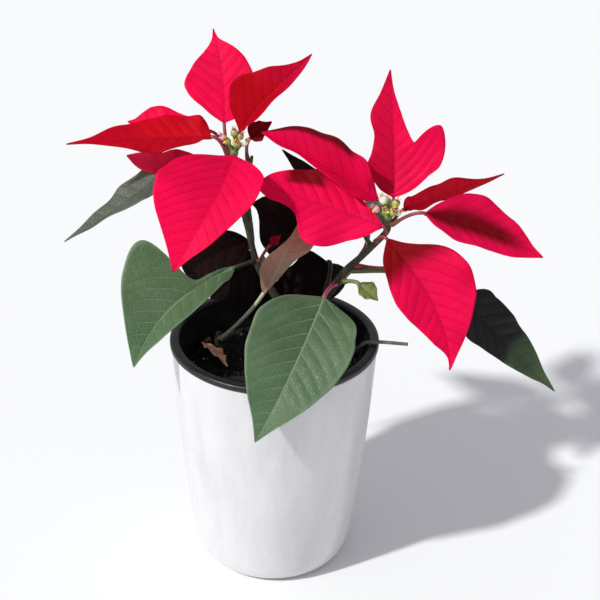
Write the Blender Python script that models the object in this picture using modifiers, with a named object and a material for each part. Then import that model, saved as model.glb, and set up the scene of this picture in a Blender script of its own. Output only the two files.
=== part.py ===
"""Potted poinsettia with two red blooms, in metres, +Z up, front towards -Y.

The origin is the middle of the cachepot's foot, on the floor.
"""

import math
from dataclasses import dataclass

import bmesh
import bpy
import numpy as np

MM = 0.001

# Both pots, in millimetres
CACHEPOT_HEIGHT = 147.0
CACHEPOT_WALL = 3.5
CACHEPOT_OUTLINE = (
    (61.5, 145.5), (60.6, 128.0), (58.4, 98.0), (55.6, 68.0), (52.6, 40.0),
    (50.4, 22.0), (48.2, 10.0), (45.5, 4.0), (42.0, 1.0), (38.5, 0.0),
)
NURSERY_LIP = 62.5
NURSERY_TOP = 151.0
NURSERY_WALL = 1.2
NURSERY_FLOOR = 30.0
SOIL_TOP = 129.0
CONTACT_GAP = 0.3
TURN_STEPS = 40
CUP_SIDES = 6

# Blades: share of the midrib at which the half widths are given
STATIONS = (0.06, 0.16, 0.3, 0.45, 0.6, 0.75, 0.88)
TIP_HALF_WIDTH = 0.5
PETIOLE_THICK = 2.0
PETIOLE_BEND = 0.35
BLADE_THICK = 0.8
PETIOLE_ROWS = (-1.0, -0.55, -0.2)
BLADE_ROWS = (0.0, 0.05, 0.13, 0.22, 0.32, 0.43, 0.54, 0.65, 0.76, 0.87, 0.95, 1.0)

# Stems as x, y, z and radius in millimetres, from the bottom up
STEMS = {
    "trunk": ((8, 10, 117, 4.4), (8, 10, 140, 4.2), (9, 10, 160, 3.8)),
    "left": (
        (8, 10, 148, 3.0), (3, 10, 166, 2.7), (-4.5, 12, 179, 2.4), (-11.5, 14, 193, 2.1),
        (-16, 13, 213, 1.8), (-20, 12, 230, 1.7), (-23, 11, 246, 1.7), (-24, 10, 257, 1.8),
        (-24, 10, 262, 2.0),
    ),
    "left_side": (
        (-13.5, 13.8, 200, 1.4), (-14, 14.5, 212, 1.2), (-16, 13.5, 233, 1.1),
        (-15, 14, 250, 1.0), (-14, 15, 260, 1.0),
    ),
    "right": (
        (10, 10, 148, 3.0), (25.5, 6, 168, 2.7), (35, 3, 183.5, 2.4), (41.5, 0, 195.5, 2.2),
        (49, -5, 206, 2.0), (55.5, -10, 216, 1.9), (62.5, -14.5, 227, 1.9),
        (63.5, -15, 232, 2.0), (63.5, -15, 236, 2.0),
    ),
    "shoot": ((-36, 27, 117, 2.0), (-36, 27, 128, 1.9), (-35, 27, 137, 1.7)),
}

# Cups of each bloom, as the way from the stem's top to the cup's middle and its radius
CUPS = {
    "left": (
        (0, 0.5, 15, 2.1), (-7, -1, 12.5, 1.9), (6, -2, 9, 2.1), (1.5, -4, 9, 2.2),
        (-3.5, -3, 10.5, 2.0), (4, -0.5, 13, 1.8), (-5, 2, 8.5, 1.8),
    ),
    "right": (
        (-3, 1, 11, 2.4), (-7.5, -1, 6, 2.0), (3.5, 0, 9, 2.2), (2, -4, 5.5, 2.4),
        (-2, -4.5, 6.5, 2.0), (5.5, -4.5, 5.5, 1.7), (0, 5, 8, 1.9),
    ),
}

STEM_PIECES = ("trunk", "left", "left_side", "right")

FALLEN_PETIOLE = (
    (30, -6, 131.8, 1.3), (43, -7.5, 140, 1.2), (50.5, -8.3, 148.5, 1.1), (54.5, -8.7, 151.9, 1.1),
    (59, -9.2, 152.6, 1.1), (66, -9.7, 152.8, 1.1), (79, -11, 152.5, 1.0),
)


@dataclass
class Blade:
    """One bract or leaf with its petiole. Lengths are millimetres and angles degrees."""

    name: str
    stem: str
    height: float
    base: tuple
    tip: tuple
    face: tuple
    left: tuple
    right: tuple
    bow: tuple = (0, 0, 0)
    face_tip: tuple = None
    fold: tuple = (12, 12)
    curl: tuple = (0, 0)
    sweep: tuple = (0.2, 0.2)
    wave: float = 0.8
    waves: float = 3.0
    phase: float = 0.0
    petiole: float = 1.0
    columns: int = 6
    kind: str = "bract"
    start: tuple = None
    lobes: tuple = ()
    extra_rows: tuple = ()


def unit(rows):
    return rows / np.linalg.norm(rows, axis=-1, keepdims=True)


def arc(start, middle, end, s):
    """Points and directions of the quadratic curve that passes near the middle."""
    s = s[:, None]
    points = (1 - s) ** 2 * start + 2 * s * (1 - s) * middle + s ** 2 * end
    return points, unit(2 * (1 - s) * (middle - start) + 2 * s * (end - middle))


def stem_axis(name, height):
    """Point, radius and direction of the stem's axis at a height."""
    points = np.array(STEMS[name], float)
    order = points[:, 2]
    at = np.array([np.interp(height, order, points[:, k]) for k in range(4)])
    i = int(np.clip(np.searchsorted(order, height) - 1, 0, len(points) - 2))
    return at[:3], at[3], unit(points[i + 1, :3] - points[i, :3])


def petiole_bend(blade, start):
    """Control point that lets the petiole run into the midrib without a corner."""
    base, tip, bow = (np.array(v, float) for v in (blade.base, blade.tip, blade.bow))
    reach = np.linalg.norm(base - start) * PETIOLE_BEND
    return base - unit((tip - base) / 2 + 2 * bow) * reach


def stalk_point(blade):
    """Where the petiole starts, with its nearest corner just clear of the stem."""
    if blade.start:
        return np.array(blade.start, float)
    centre, radius, along = stem_axis(blade.stem, blade.height)
    lead = unit(petiole_bend(blade, centre) - centre)
    spoke = unit(lead - (lead @ along) * along)
    side = unit(np.cross(lead, np.array(blade.face, float)))
    up = np.cross(side, lead)
    corner = abs(spoke @ side) * blade.petiole + abs(spoke @ up) * PETIOLE_THICK / 2
    return centre + spoke * (radius + CONTACT_GAP + corner)


def midrib(blade, s):
    """Points and directions along the petiole, where s is below 0, and the midrib."""
    base, tip, bow = (np.array(v, float) for v in (blade.base, blade.tip, blade.bow))
    middle = (base + tip) / 2 + 2 * bow
    points, along = arc(base, middle, tip, np.maximum(s, 0.0))
    stalk = stalk_point(blade)
    petiole, leads = arc(stalk, petiole_bend(blade, stalk), base, np.minimum(s, 0.0) + 1)
    on_petiole = (s < 0)[:, None]
    return np.where(on_petiole, petiole, points), np.where(on_petiole, leads, along)


def half_width(blade, side, s):
    """Half width on one side, smooth between the stations."""
    given = blade.right if side > 0 else blade.left
    at = np.array((0.0,) + STATIONS + (1.0,))
    width = np.array((blade.petiole,) + tuple(given) + (TIP_HALF_WIDTH,), float)
    slope = np.gradient(width, at)
    slope[0] = (width[1] - width[0]) / (at[1] - at[0])
    slope[-1] = (width[-1] - width[-2]) / (at[-1] - at[-2])
    s = np.clip(s, 0, 1)
    i = np.clip(np.searchsorted(at, s, side="right") - 1, 0, len(at) - 2)
    step = at[i + 1] - at[i]
    u = (s - at[i]) / step
    smooth = (
        (2 * u ** 3 - 3 * u ** 2 + 1) * width[i]
        + (u ** 3 - 2 * u ** 2 + u) * step * slope[i]
        + (3 * u ** 2 - 2 * u ** 3) * width[i + 1]
        + (u ** 3 - u ** 2) * step * slope[i + 1]
    )
    return np.maximum(smooth, TIP_HALF_WIDTH)


def blade_surface(blade, s, t):
    """Points of the blade's middle surface in metres, for arrays s along and t across."""
    spine, along = midrib(blade, s)
    face = np.array(blade.face, float)
    face_tip = np.array(blade.face_tip or blade.face, float)
    share = np.clip(s, 0, 1)[:, None]
    hint = unit(face) * (1 - share) + unit(face_tip) * share
    side = unit(np.cross(along, hint))
    up = np.cross(side, along)
    right = t > 0
    width = np.where(right, half_width(blade, 1, s), half_width(blade, -1, s))
    reach = width * np.abs(t)
    opened = np.clip(s / 0.1, 0, 1)
    fold = np.where(right, blade.fold[1], blade.fold[0])
    curl = np.where(right, blade.curl[1], blade.curl[0])
    angle = np.radians(fold + curl * np.abs(t) / 2) * opened
    ripple = np.sin(2 * math.pi * blade.waves * s + blade.phase + np.where(right, 0, 2.0))
    lift = reach * np.sin(angle) + blade.wave * ripple * t ** 2 * opened * (1 - share[:, 0] ** 4)
    out = reach * np.cos(angle) * np.sign(t)
    sweep = np.where(right, blade.sweep[1], blade.sweep[0])
    ahead = sweep * reach * opened * (1 - share[:, 0])
    for sign, at, span, outward, forward in blade.lobes:
        bump = np.clip(1 - ((s - at) / span) ** 2, 0, 1) ** 2 * np.clip(t * sign, 0, 1) ** 2
        out = out + bump * outward * sign
        ahead = ahead + bump * forward
    points = spine + side * out[:, None] + up * lift[:, None] + along * ahead[:, None]
    return points * MM


LEAF = dict(kind="leaf", petiole=1.2)

BLADES = (
    # Left bloom
    Blade("left_bract_up", "left", 257, (-30, 20, 278), (-38, 58, 320.5), (0, -0.84, 0.65),
          left=(8, 17, 22, 20, 15.5, 8, 2.5), right=(13, 19, 19, 17, 14, 8, 1.5),
          bow=(1.5, 4, 1), face_tip=(-0.3, -0.7, 0.65), fold=(10, 0)),
    Blade("left_bract_upper_right", "left", 259, (-21, 16, 274.5), (19, 26, 317), (-0.12, -0.53, 0.53),
          left=(11, 19, 20.5, 17, 12, 6, 2), right=(3, 7, 8, 8, 9, 9, 5),
          bow=(-0.5, -5, 2.5), fold=(28, 42)),
    Blade("left_bract_long", "left", 255, (-37, 8, 274), (-116, -6, 273.5), (0, -0.1, 0.85),
          left=(2, 4.5, 7.5, 10, 8.5, 3.5, 1), right=(10, 13, 13.5, 12.5, 10.5, 7.5, 3),
          bow=(7, 6, -1), face_tip=(0.3, -0.12, 0.85), fold=(-26, 35), sweep=(0.3, 0.1)),
    Blade("left_bract_front", "left", 253, (-24, 3, 264.5), (-54.5, -52, 218.5), (-0.07, -1.1, 0.8),
          left=(9, 21, 24, 21, 16, 10.5, 4.5), right=(17, 27, 33, 34, 31, 22, 11),
          bow=(5, -7.5, 8), fold=(20, 11)),
    Blade("left_bract_right", "left_side", 257, (-15, 19, 269), (-3, 22, 278), (0.1, -0.6, 0.8),
          left=(5, 7, 7, 6, 5, 3, 1.5), right=(5, 7, 7, 6, 5, 3, 1.5), fold=(25, 25), columns=4),
    Blade("left_bract_behind", "left", 248, (-40, 22, 272), (-86, 30, 273.5), (0.1, -0.7, 0.86),
          left=(5, 6, 6, 8, 8.5, 6, 2), right=(6, 8.5, 11.5, 13, 12, 7, 3),
          bow=(-6, -3.5, 1), fold=(20, 5), sweep=(0.6, 0.3)),
    Blade("left_bract_under", "left", 246, (-41, 2, 260), (-83, -5, 267), (0.3, -0.7, 0.8),
          left=(5, 9, 10, 9, 8.5, 7.5, 5), right=(4, 7, 9, 8, 6, 4.5, 3.5), bow=(2, -4, -1), columns=4),
    # Right bloom
    Blade("right_bract_up", "right", 230, (67, 2, 241.5), (63.5, 30, 307.5), (-0.12, -0.9, 0.65),
          left=(7, 12, 16, 13, 11, 12.5, 6), right=(13, 27, 31, 14.5, 8.6, 5, 1.5),
          bow=(1.5, 0.5, -8), face_tip=(-0.5, -0.7, 0.65), fold=(20, 7), sweep=(0.05, 0.4),
          lobes=((1, 0.315, 0.18, -3, 15),), extra_rows=(0.27, 0.37)),
    Blade("right_bract_small", "right", 233, (72.5, -11, 240), (129, 4, 256), (-0.5, -0.3, 0.8),
          left=(6, 6.5, 6.5, 8, 8, 4.5, 1), right=(5, 7, 7.5, 7, 6.5, 6, 3),
          bow=(-6, 0, -2), face_tip=(-1.1, -0.4, 0.8), fold=(24, 10), sweep=(0.3, -0.2)),
    Blade("right_bract_lower", "right", 233, (83.5, -24, 243.5), (148, -38, 224.5), (0.1, -0.5, 0.86),
          left=(8, 16, 19, 16, 11.5, 7, 2.5), right=(7, 11, 12.5, 12, 11, 9.5, 5),
          bow=(5, 3, 0), fold=(16, 0)),
    Blade("right_bract_front", "right", 221, (63, -25, 227.5), (98, -66, 168), (0.05, -0.8, 0.53),
          left=(6, 21, 27.5, 25.5, 18, 10, 4), right=(10, 15.5, 19, 17.5, 13, 8, 1.5),
          bow=(9.5, -2.5, -1.5), face_tip=(0.15, -0.8, 0.53), fold=(12, 10)),
    Blade("right_bract_long", "right", 234, (57.5, -7, 244), (-8.5, 8, 277), (0.27, -0.39, 0.8),
          left=(9.5, 15, 13, 8, 5, 5, 3.5), right=(6, 15, 17, 17.5, 16, 12, 6),
          bow=(-3, 0, 3.5), face_tip=(-0.24, -0.28, 0.8), fold=(26, 64)),
    Blade("right_bract_left", "right", 228, (60, -20, 233.5), (-11.5, -10, 252.5), (0.37, -0.82, 0.84),
          left=(11, 20, 25, 21, 10, 6, 5), right=(5, 13, 18, 19, 17, 13, 9),
          bow=(-2, 4.5, 0), face_tip=(0.3, -0.6, 0.84), fold=(-11, 10), sweep=(0.5, 0.6)),
    # Green leaves that show
    Blade("leaf_far_left", "left", 240, (-66, 14, 251), (-121.5, -2, 211.5), (0, -0.3, 0.95),
          left=(10, 13, 12.5, 8, 5, 3.5, 1.5), right=(8, 9, 10.5, 10, 8, 5.5, 3),
          bow=(5, 1, 0.5), face_tip=(-0.16, -0.2, 0.95), fold=(15, 13), sweep=(0.4, 0), **LEAF),
    Blade("leaf_left", "left", 194, (-24.5, 6, 192.5), (-79.5, -42, 152), (0.1, -0.94, 0.81),
          left=(6.5, 11, 15.5, 16.5, 15.5, 11.5, 5.5), right=(2, 3, 7, 40, 35, 19, 8),
          bow=(-7.5, 2, 4.5), face_tip=(-0.1, -1, 0.81), fold=(42, 13), sweep=(0.05, -0.45), **LEAF),
    Blade("leaf_front", "right", 186, (28.5, -18, 186.5), (-9, -76, 125), (0, -1.06, 0.57),
          left=(20, 27, 28.5, 25, 19, 11.5, 5), right=(20, 31, 32.5, 30, 24, 15.5, 7),
          bow=(0.5, -10, 2), fold=(19, 12), **LEAF),
    Blade("leaf_right", "right", 197, (106.5, -16, 188), (166.5, -20, 127.5), (-0.15, -0.45, 0.64),
          left=(13, 15.5, 15.5, 14, 11.5, 7.5, 3.5), right=(14, 17.5, 15.5, 13, 9.5, 6, 2),
          bow=(0, -4.5, 0.5), fold=(6, 26), **LEAF),
    Blade("leaf_olive", "shoot", 134, (-6.5, 2, 178.5), (13, 8, 220.5), (-0.1, -0.88, 0.47),
          left=(3.8, 7.2, 9.1, 8.3, 5.2, 2.3, 1), right=(1.5, 2.5, 4.2, 5.6, 8.5, 13, 12),
          bow=(1.2, -6.8, 3.6), fold=(10, 12), sweep=(0, 0), **LEAF),
    # Leaves in the shade
    Blade("leaf_shade_centre", "left", 222, (-13.5, 28, 224.5), (10, 33, 197.5), (0.34, -0.67, 0.71),
          left=(11, 13, 14, 15, 14.5, 9.5, 5), right=(3, 14, 19, 20, 18, 12, 6),
          bow=(5.5, -0.5, -2.5), face_tip=(0, -1, 0.71), fold=(13, 8), sweep=(0.6, 0.2), columns=4, **LEAF),
    Blade("leaf_shade_left", "left", 207, (-16, 24, 201), (-52, 18, 179), (-0.05, -1.04, 0.56),
          left=(10, 16.5, 17.5, 17, 15, 13, 10), right=(8, 14.5, 17.5, 17.5, 14, 9, 5.5),
          bow=(-8, -5, 2), face_tip=(-0.44, -0.96, 0.56), fold=(18, 16), sweep=(0.1, 0.4), columns=4, **LEAF),
    Blade("leaf_shade_upper", "right", 214, (42, 18, 222), (3, 27, 259), (0, -0.6, 0.8),
          left=(5, 8, 9, 8, 6, 4, 2), right=(5, 8, 9, 8, 6, 4, 2), columns=4, **LEAF),
    Blade("leaf_shade_lower", "right", 176, (30.5, 24, 188), (-7.5, 32, 159), (0, -0.64, 0.7),
          left=(11, 16, 17, 13, 8.5, 6, 5), right=(13, 13, 11.5, 10.5, 8, 6, 4),
          bow=(-4, 1, -6.5), fold=(3, 7), columns=4, **LEAF),
    Blade("leaf_small_right", "right", 190, (49, -7, 190), (60, -14, 183), (0.1, -0.5, 0.85),
          left=(3, 5, 6, 6, 5, 3, 1.5), right=(3, 5, 6, 6, 5, 3, 1.5), columns=4, **LEAF),
    Blade("leaf_young_red", "left", 194, (-3, 10, 206), (3, 12, 211.5), (0, -0.8, 0.6),
          left=(2, 3, 4, 4, 3, 2, 1), right=(2, 3, 4, 4, 3, 2, 1), columns=4, petiole=0.9),
    # Leaves on the side away from the photo
    Blade("leaf_back_left_upper", "left", 226, (-34, 32, 226), (-66, 82, 212), (0, 0.2, 1),
          left=(12, 19, 22, 19, 14, 8, 3), right=(12, 19, 22, 19, 14, 8, 3), bow=(0, 0, 6), **LEAF),
    Blade("leaf_back_right_upper", "right", 206, (54, 16, 212), (46, 82, 200), (0, 0.2, 1),
          left=(12, 19, 22, 19, 14, 8, 3), right=(12, 19, 22, 19, 14, 8, 3), bow=(0, 0, 6), **LEAF),
    Blade("leaf_back_right", "right", 200, (76, 14, 192), (122, 54, 168), (0, 0.2, 1),
          left=(12, 19, 22, 19, 14, 8, 3), right=(12, 19, 22, 19, 14, 8, 3), bow=(0, 0, 6), **LEAF),
    Blade("leaf_back", "right", 184, (43, 30, 179.5), (25, 42, 152.5), (0, -1.1, 0.8),
          left=(7, 10, 11, 10, 9, 7, 5), right=(6, 9, 11, 11, 9, 6, 3), bow=(-5, 0.5, 0), **LEAF),
    Blade("leaf_back_left", "left", 188, (-10, 34, 184), (-41, 42, 152), (0.1, -0.8, 0.7),
          left=(10.5, 15.5, 18, 17, 13.5, 8.5, 4), right=(12.5, 15.5, 16, 14, 11.5, 8, 4.5),
          fold=(3, 9), **LEAF),
    # Dried leaf that lies on the soil
    Blade("dried_leaf", "", 0, (-43, 19, 133.2), (-28, -4, 130.5), (0.2, 0, 1), start=(-41, 26, 132.7),
          left=(4, 6, 7, 6, 5, 3, 1.5), right=(4, 5, 6, 6, 4, 3, 1.5), bow=(0, 0, 1.5),
          fold=(-10, 25), wave=1.2, columns=4, kind="dried"),
)


def principled(name, colour, roughness):
    material = bpy.data.materials.new(name)
    material.use_nodes = True
    shader = material.node_tree.nodes["Principled BSDF"]
    shader.inputs["Base Color"].default_value = (*colour, 1.0)
    shader.inputs["Roughness"].default_value = roughness
    return material


def add_cyathia(bloom, collection, material):
    """Cluster of cups on short stalks that spring from one seat on the stem's top."""
    x, y, z, radius = STEMS[bloom][-1]
    z += CONTACT_GAP
    seat = [(x, y, z, radius), (x, y, z + 2, radius + 0.5), (x, y, z + 4, radius - 0.6)]
    tubes = [add_tube(bloom + "_seat", seat, collection, CUP_SIDES)]
    for number, (dx, dy, dz, r) in enumerate(CUPS[bloom]):
        path = [(x, y, z + 1.5, 0.7)]
        for share, size in ((0.35, 0.45), (0.62, 0.5), (0.8, 0.92), (1.0, 1.0), (1.18, 0.75), (1.3, 0.3)):
            path.append((x + dx * share, y + dy * share, z + 1.5 + (dz - 1.5) * share, r * size))
        tubes.append(add_tube(f"{bloom}_cup_{number}", path, collection, CUP_SIDES))
    return join_solids(bloom + "_cyathia", tubes, collection, material)


def clear_scene():
    for obj in list(bpy.data.objects):
        bpy.data.objects.remove(obj, do_unlink=True)


def collection_named(name, hidden=False):
    collection = bpy.data.collections.new(name)
    bpy.context.scene.collection.children.link(collection)
    collection.hide_render = hidden
    return collection


def object_from(bm, name, collection, material=None):
    mesh = bpy.data.meshes.new(name)
    bm.to_mesh(mesh)
    bm.free()
    obj = bpy.data.objects.new(name, mesh)
    collection.objects.link(obj)
    if material:
        mesh.materials.append(material)
    return obj


def add_blade(blade, collection, material):
    """A grid laid along the petiole and blade, then thickened by the Solidify modifier."""
    rows = sorted(PETIOLE_ROWS + BLADE_ROWS + blade.extra_rows)
    bm = bmesh.new()
    bmesh.ops.create_grid(bm, x_segments=blade.columns, y_segments=len(rows) - 1, size=1.0)
    verts = list(bm.verts)
    s = np.array([rows[round((v.co.y + 1) / 2 * (len(rows) - 1))] for v in verts])
    t = np.array([v.co.x for v in verts])
    for vert, point in zip(verts, blade_surface(blade, s, t)):
        vert.co = point
    bmesh.ops.triangulate(bm, faces=bm.faces[:])
    obj = object_from(bm, blade.name, collection, material)
    group = obj.vertex_groups.new(name="thickness")
    thin = BLADE_THICK / PETIOLE_THICK
    for index in range(len(s)):
        spine = (1 - thin) * (1 - max(s[index], 0)) * (1 - min(abs(t[index]) * 2, 1) * (s[index] > 0.02))
        group.add([index], thin + spine, "REPLACE")
    solid = obj.modifiers.new("thickness", "SOLIDIFY")
    solid.thickness = PETIOLE_THICK * MM
    solid.offset = 0.0
    solid.vertex_group = group.name
    return obj


def add_turned(name, outline, collection, material):
    """Screw modifier on a profile given as radius and height from the top outside round."""
    mesh = bpy.data.meshes.new(name)
    points = [(r * MM, 0.0, z * MM) for r, z in outline]
    edges = [(i, i + 1) for i in range(len(points) - 1)]
    mesh.from_pydata(points, edges, [])
    obj = bpy.data.objects.new(name, mesh)
    collection.objects.link(obj)
    mesh.materials.append(material)
    screw = obj.modifiers.new("turn", "SCREW")
    screw.axis = "Z"
    screw.steps = TURN_STEPS
    screw.render_steps = TURN_STEPS
    screw.use_merge_vertices = True
    screw.merge_threshold = 1e-5
    screw.use_normal_calculate = False
    return obj


def add_tube(name, points, collection, sides=10):
    """Round tube through points with a radius each, as a closed mesh."""
    curve = bpy.data.curves.new(name, "CURVE")
    curve.dimensions = "3D"
    curve.bevel_depth = MM
    curve.bevel_resolution = max(sides // 2 - 2, 1)
    curve.use_fill_caps = True
    spline = curve.splines.new("POLY")
    spline.points.add(len(points) - 1)
    for target, (x, y, z, r) in zip(spline.points, points):
        target.co = (x * MM, y * MM, z * MM, 1.0)
        target.radius = r
    source = bpy.data.objects.new(name + "_curve", curve)
    bpy.context.scene.collection.objects.link(source)
    bpy.context.view_layer.update()
    mesh = bpy.data.meshes.new_from_object(source.evaluated_get(bpy.context.evaluated_depsgraph_get()))
    bpy.data.objects.remove(source, do_unlink=True)
    bm = bmesh.new()
    bm.from_mesh(mesh)
    bmesh.ops.remove_doubles(bm, verts=bm.verts[:], dist=1e-6)
    bmesh.ops.recalc_face_normals(bm, faces=bm.faces[:])
    bm.to_mesh(mesh)
    bm.free()
    obj = bpy.data.objects.new(name, mesh)
    collection.objects.link(obj)
    return obj


def apply_modifiers(obj):
    graph = bpy.context.evaluated_depsgraph_get()
    mesh = bpy.data.meshes.new_from_object(obj.evaluated_get(graph))
    obj.modifiers.clear()
    obj.data = mesh


def join_solids(name, pieces, collection, material):
    """Boolean union of closed pieces into one solid; the pieces are removed."""
    first, others = pieces[0], pieces[1:]
    helper = bpy.data.collections.new(name + "_joined")
    bpy.context.scene.collection.children.link(helper)
    for piece in others:
        for owner in list(piece.users_collection):
            owner.objects.unlink(piece)
        helper.objects.link(piece)
    union = first.modifiers.new("join", "BOOLEAN")
    union.operation = "UNION"
    union.operand_type = "COLLECTION"
    union.collection = helper
    union.solver = "MANIFOLD"
    bpy.context.view_layer.update()
    apply_modifiers(first)
    for piece in others:
        bpy.data.objects.remove(piece, do_unlink=True)
    bpy.data.collections.remove(helper)
    first.name = name
    first.data.name = name
    first.data.materials.clear()
    first.data.materials.append(material)
    return first


def cachepot_profile():
    outer = list(CACHEPOT_OUTLINE)
    rim = [(58.4, 146.2), (59.2, CACHEPOT_HEIGHT - 0.2), (60.4, CACHEPOT_HEIGHT)]
    inner = [(r - CACHEPOT_WALL, z) for r, z in outer[1:-2]]
    inner[0] = (57.2, 140.0)
    return [(0.0, 5.0), (38.0, 5.0)] + inner[::-1] + rim + outer + [(0.0, 0.0)]


def nursery_profile():
    lip = [
        (56.4, NURSERY_TOP - 1.0), (57.2, NURSERY_TOP), (61.7, NURSERY_TOP),
        (NURSERY_LIP, NURSERY_TOP - 0.8), (NURSERY_LIP, NURSERY_TOP - 3.4),
        (61.9, CACHEPOT_HEIGHT + CONTACT_GAP),
        (56.9, CACHEPOT_HEIGHT + CONTACT_GAP),
    ]
    wall = [(55.0, 138.0), (42.0, NURSERY_FLOOR)]
    inner = [(r - NURSERY_WALL, z) for r, z in wall[::-1]]
    inner[0] = (inner[0][0], NURSERY_FLOOR + NURSERY_WALL)
    return [(0.0, NURSERY_FLOOR + NURSERY_WALL)] + inner + lip + wall + [(0.0, NURSERY_FLOOR)]


def inner_radius(height):
    """Inner radius of the nursery pot's tapered wall."""
    low, high = (42.0, NURSERY_FLOOR), (55.0, 138.0)
    share = (height - low[1]) / (high[1] - low[1])
    return low[0] + (high[0] - low[0]) * share - NURSERY_WALL


def add_soil(collection, cutters, material):
    gap = 0.4
    low = NURSERY_FLOOR + NURSERY_WALL + CONTACT_GAP
    profile = [
        (0.0, SOIL_TOP + 1.0), (30.0, SOIL_TOP + 0.6), (inner_radius(SOIL_TOP) - 6, SOIL_TOP - 0.5),
        (inner_radius(SOIL_TOP) - gap, SOIL_TOP - 1.5), (inner_radius(low) - gap, low), (0.0, low),
    ]
    soil = add_turned("soil", profile, collection, material)
    for name in ("trunk", "shoot"):
        x, y, z, r = STEMS[name][0]
        bpy.ops.mesh.primitive_cylinder_add(
            vertices=20, radius=(r + 0.4) * MM, depth=40 * MM, location=(x * MM, y * MM, (z + 19) * MM))
        hole = bpy.context.object
        hole.name = name + "_hole"
        for owner in list(hole.users_collection):
            owner.objects.unlink(hole)
        cutters.objects.link(hole)
        hole.display_type = "WIRE"
        cut = soil.modifiers.new(name, "BOOLEAN")
        cut.operation = "DIFFERENCE"
        cut.object = hole
        cut.solver = "EXACT"
    return soil


def main():
    clear_scene()
    plant = collection_named("poinsettia")
    cutters = collection_named("cutters", hidden=True)
    glaze = principled("white_glaze", (0.85, 0.85, 0.85), 0.25)
    plastic = principled("black_plastic", (0.01, 0.01, 0.01), 0.4)
    earth = principled("potting_soil", (0.02, 0.012, 0.008), 0.95)
    bark = principled("green_brown_stem", (0.03, 0.04, 0.02), 0.6)
    red = principled("red_bract", (0.8, 0.01, 0.05), 0.5)
    green = principled("green_leaf", (0.1, 0.2, 0.08), 0.5)
    cup = principled("green_cyathium", (0.35, 0.45, 0.12), 0.5)
    straw = principled("dried_leaf_brown", (0.3, 0.15, 0.08), 0.8)
    add_turned("cachepot", cachepot_profile(), plant, glaze)
    add_turned("nursery_pot", nursery_profile(), plant, plastic)
    add_soil(plant, cutters, earth)
    tubes = [add_tube("tube_" + name, STEMS[name], plant) for name in STEM_PIECES]
    join_solids("stem", tubes, plant, bark)
    shoot = add_tube("shoot", STEMS["shoot"], plant, 8)
    shoot.data.materials.append(bark)
    for bloom in ("left", "right"):
        add_cyathia(bloom, plant, cup)
    fallen = add_tube("fallen_petiole", FALLEN_PETIOLE, plant, 8)
    fallen.data.materials.append(straw)
    skins = {"bract": red, "leaf": green, "dried": straw}
    for blade in BLADES:
        add_blade(blade, plant, skins[blade.kind])


if __name__ == "__main__":
    main()
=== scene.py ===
"""Potted poinsettia with two red blooms: the looks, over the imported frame.

Metres, +Z up, front towards -Y. Blades are laid from the same measures as in the part's
source, in finer steps, with veins, round petioles and a relief of their own.
"""

import math
import random
from dataclasses import dataclass

import bmesh
import bpy
import numpy as np
from mathutils import Matrix, Quaternion, Vector, noise


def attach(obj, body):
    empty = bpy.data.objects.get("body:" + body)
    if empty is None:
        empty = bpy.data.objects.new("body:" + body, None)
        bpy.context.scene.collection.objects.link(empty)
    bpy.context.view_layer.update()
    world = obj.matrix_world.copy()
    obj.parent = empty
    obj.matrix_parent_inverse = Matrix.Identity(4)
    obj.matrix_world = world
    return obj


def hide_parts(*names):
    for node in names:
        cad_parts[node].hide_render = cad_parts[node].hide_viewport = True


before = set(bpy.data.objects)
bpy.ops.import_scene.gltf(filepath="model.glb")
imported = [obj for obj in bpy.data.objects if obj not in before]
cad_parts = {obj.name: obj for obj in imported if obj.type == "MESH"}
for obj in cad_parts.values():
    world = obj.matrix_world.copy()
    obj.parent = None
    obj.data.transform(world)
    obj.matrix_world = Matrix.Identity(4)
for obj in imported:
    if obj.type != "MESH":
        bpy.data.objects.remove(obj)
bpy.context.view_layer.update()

MM = 0.001

# A value of 1 on a blade's map stands for this many millimetres
MAP_UNIT = 100.0

# Blades: shares of the midrib at which the half widths are given, and millimetres
STATIONS = (0.06, 0.16, 0.3, 0.45, 0.6, 0.75, 0.88)
TIP_HALF_WIDTH = 0.3
BLADE_THICK = 0.9
ROW_STEP = 1.05
COLUMN_STEP = 1.5
WAVES = 3.0
FLUTTER_LENGTH = 17.0

# Petioles: how far they bend, their thickness, their gap to the CAD's stem and their root in it
PETIOLE_BEND = 0.35
PETIOLE_THICK = 2.0
CONTACT_GAP = 0.3
PETIOLE_ROOT = 1.6
MIDRIB_END_RADIUS = 0.28

# Side veins: spacing, lean and bend as they arch forward, how far the skin puffs up between
# them, and the cells of the net of finest veins
VEIN_SPACING = {"bract": 7.5, "leaf": 8.5, "dried": 6.0}
VEIN_LEAN = {"bract": 0.75, "leaf": 0.6, "dried": 0.7}
VEIN_BEND = {"bract": 0.012, "leaf": 0.012, "dried": 0.01}
PUFF = {"bract": 0.45, "leaf": 0.65, "dried": 0.5}
NET_CELL = 2.2

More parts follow.
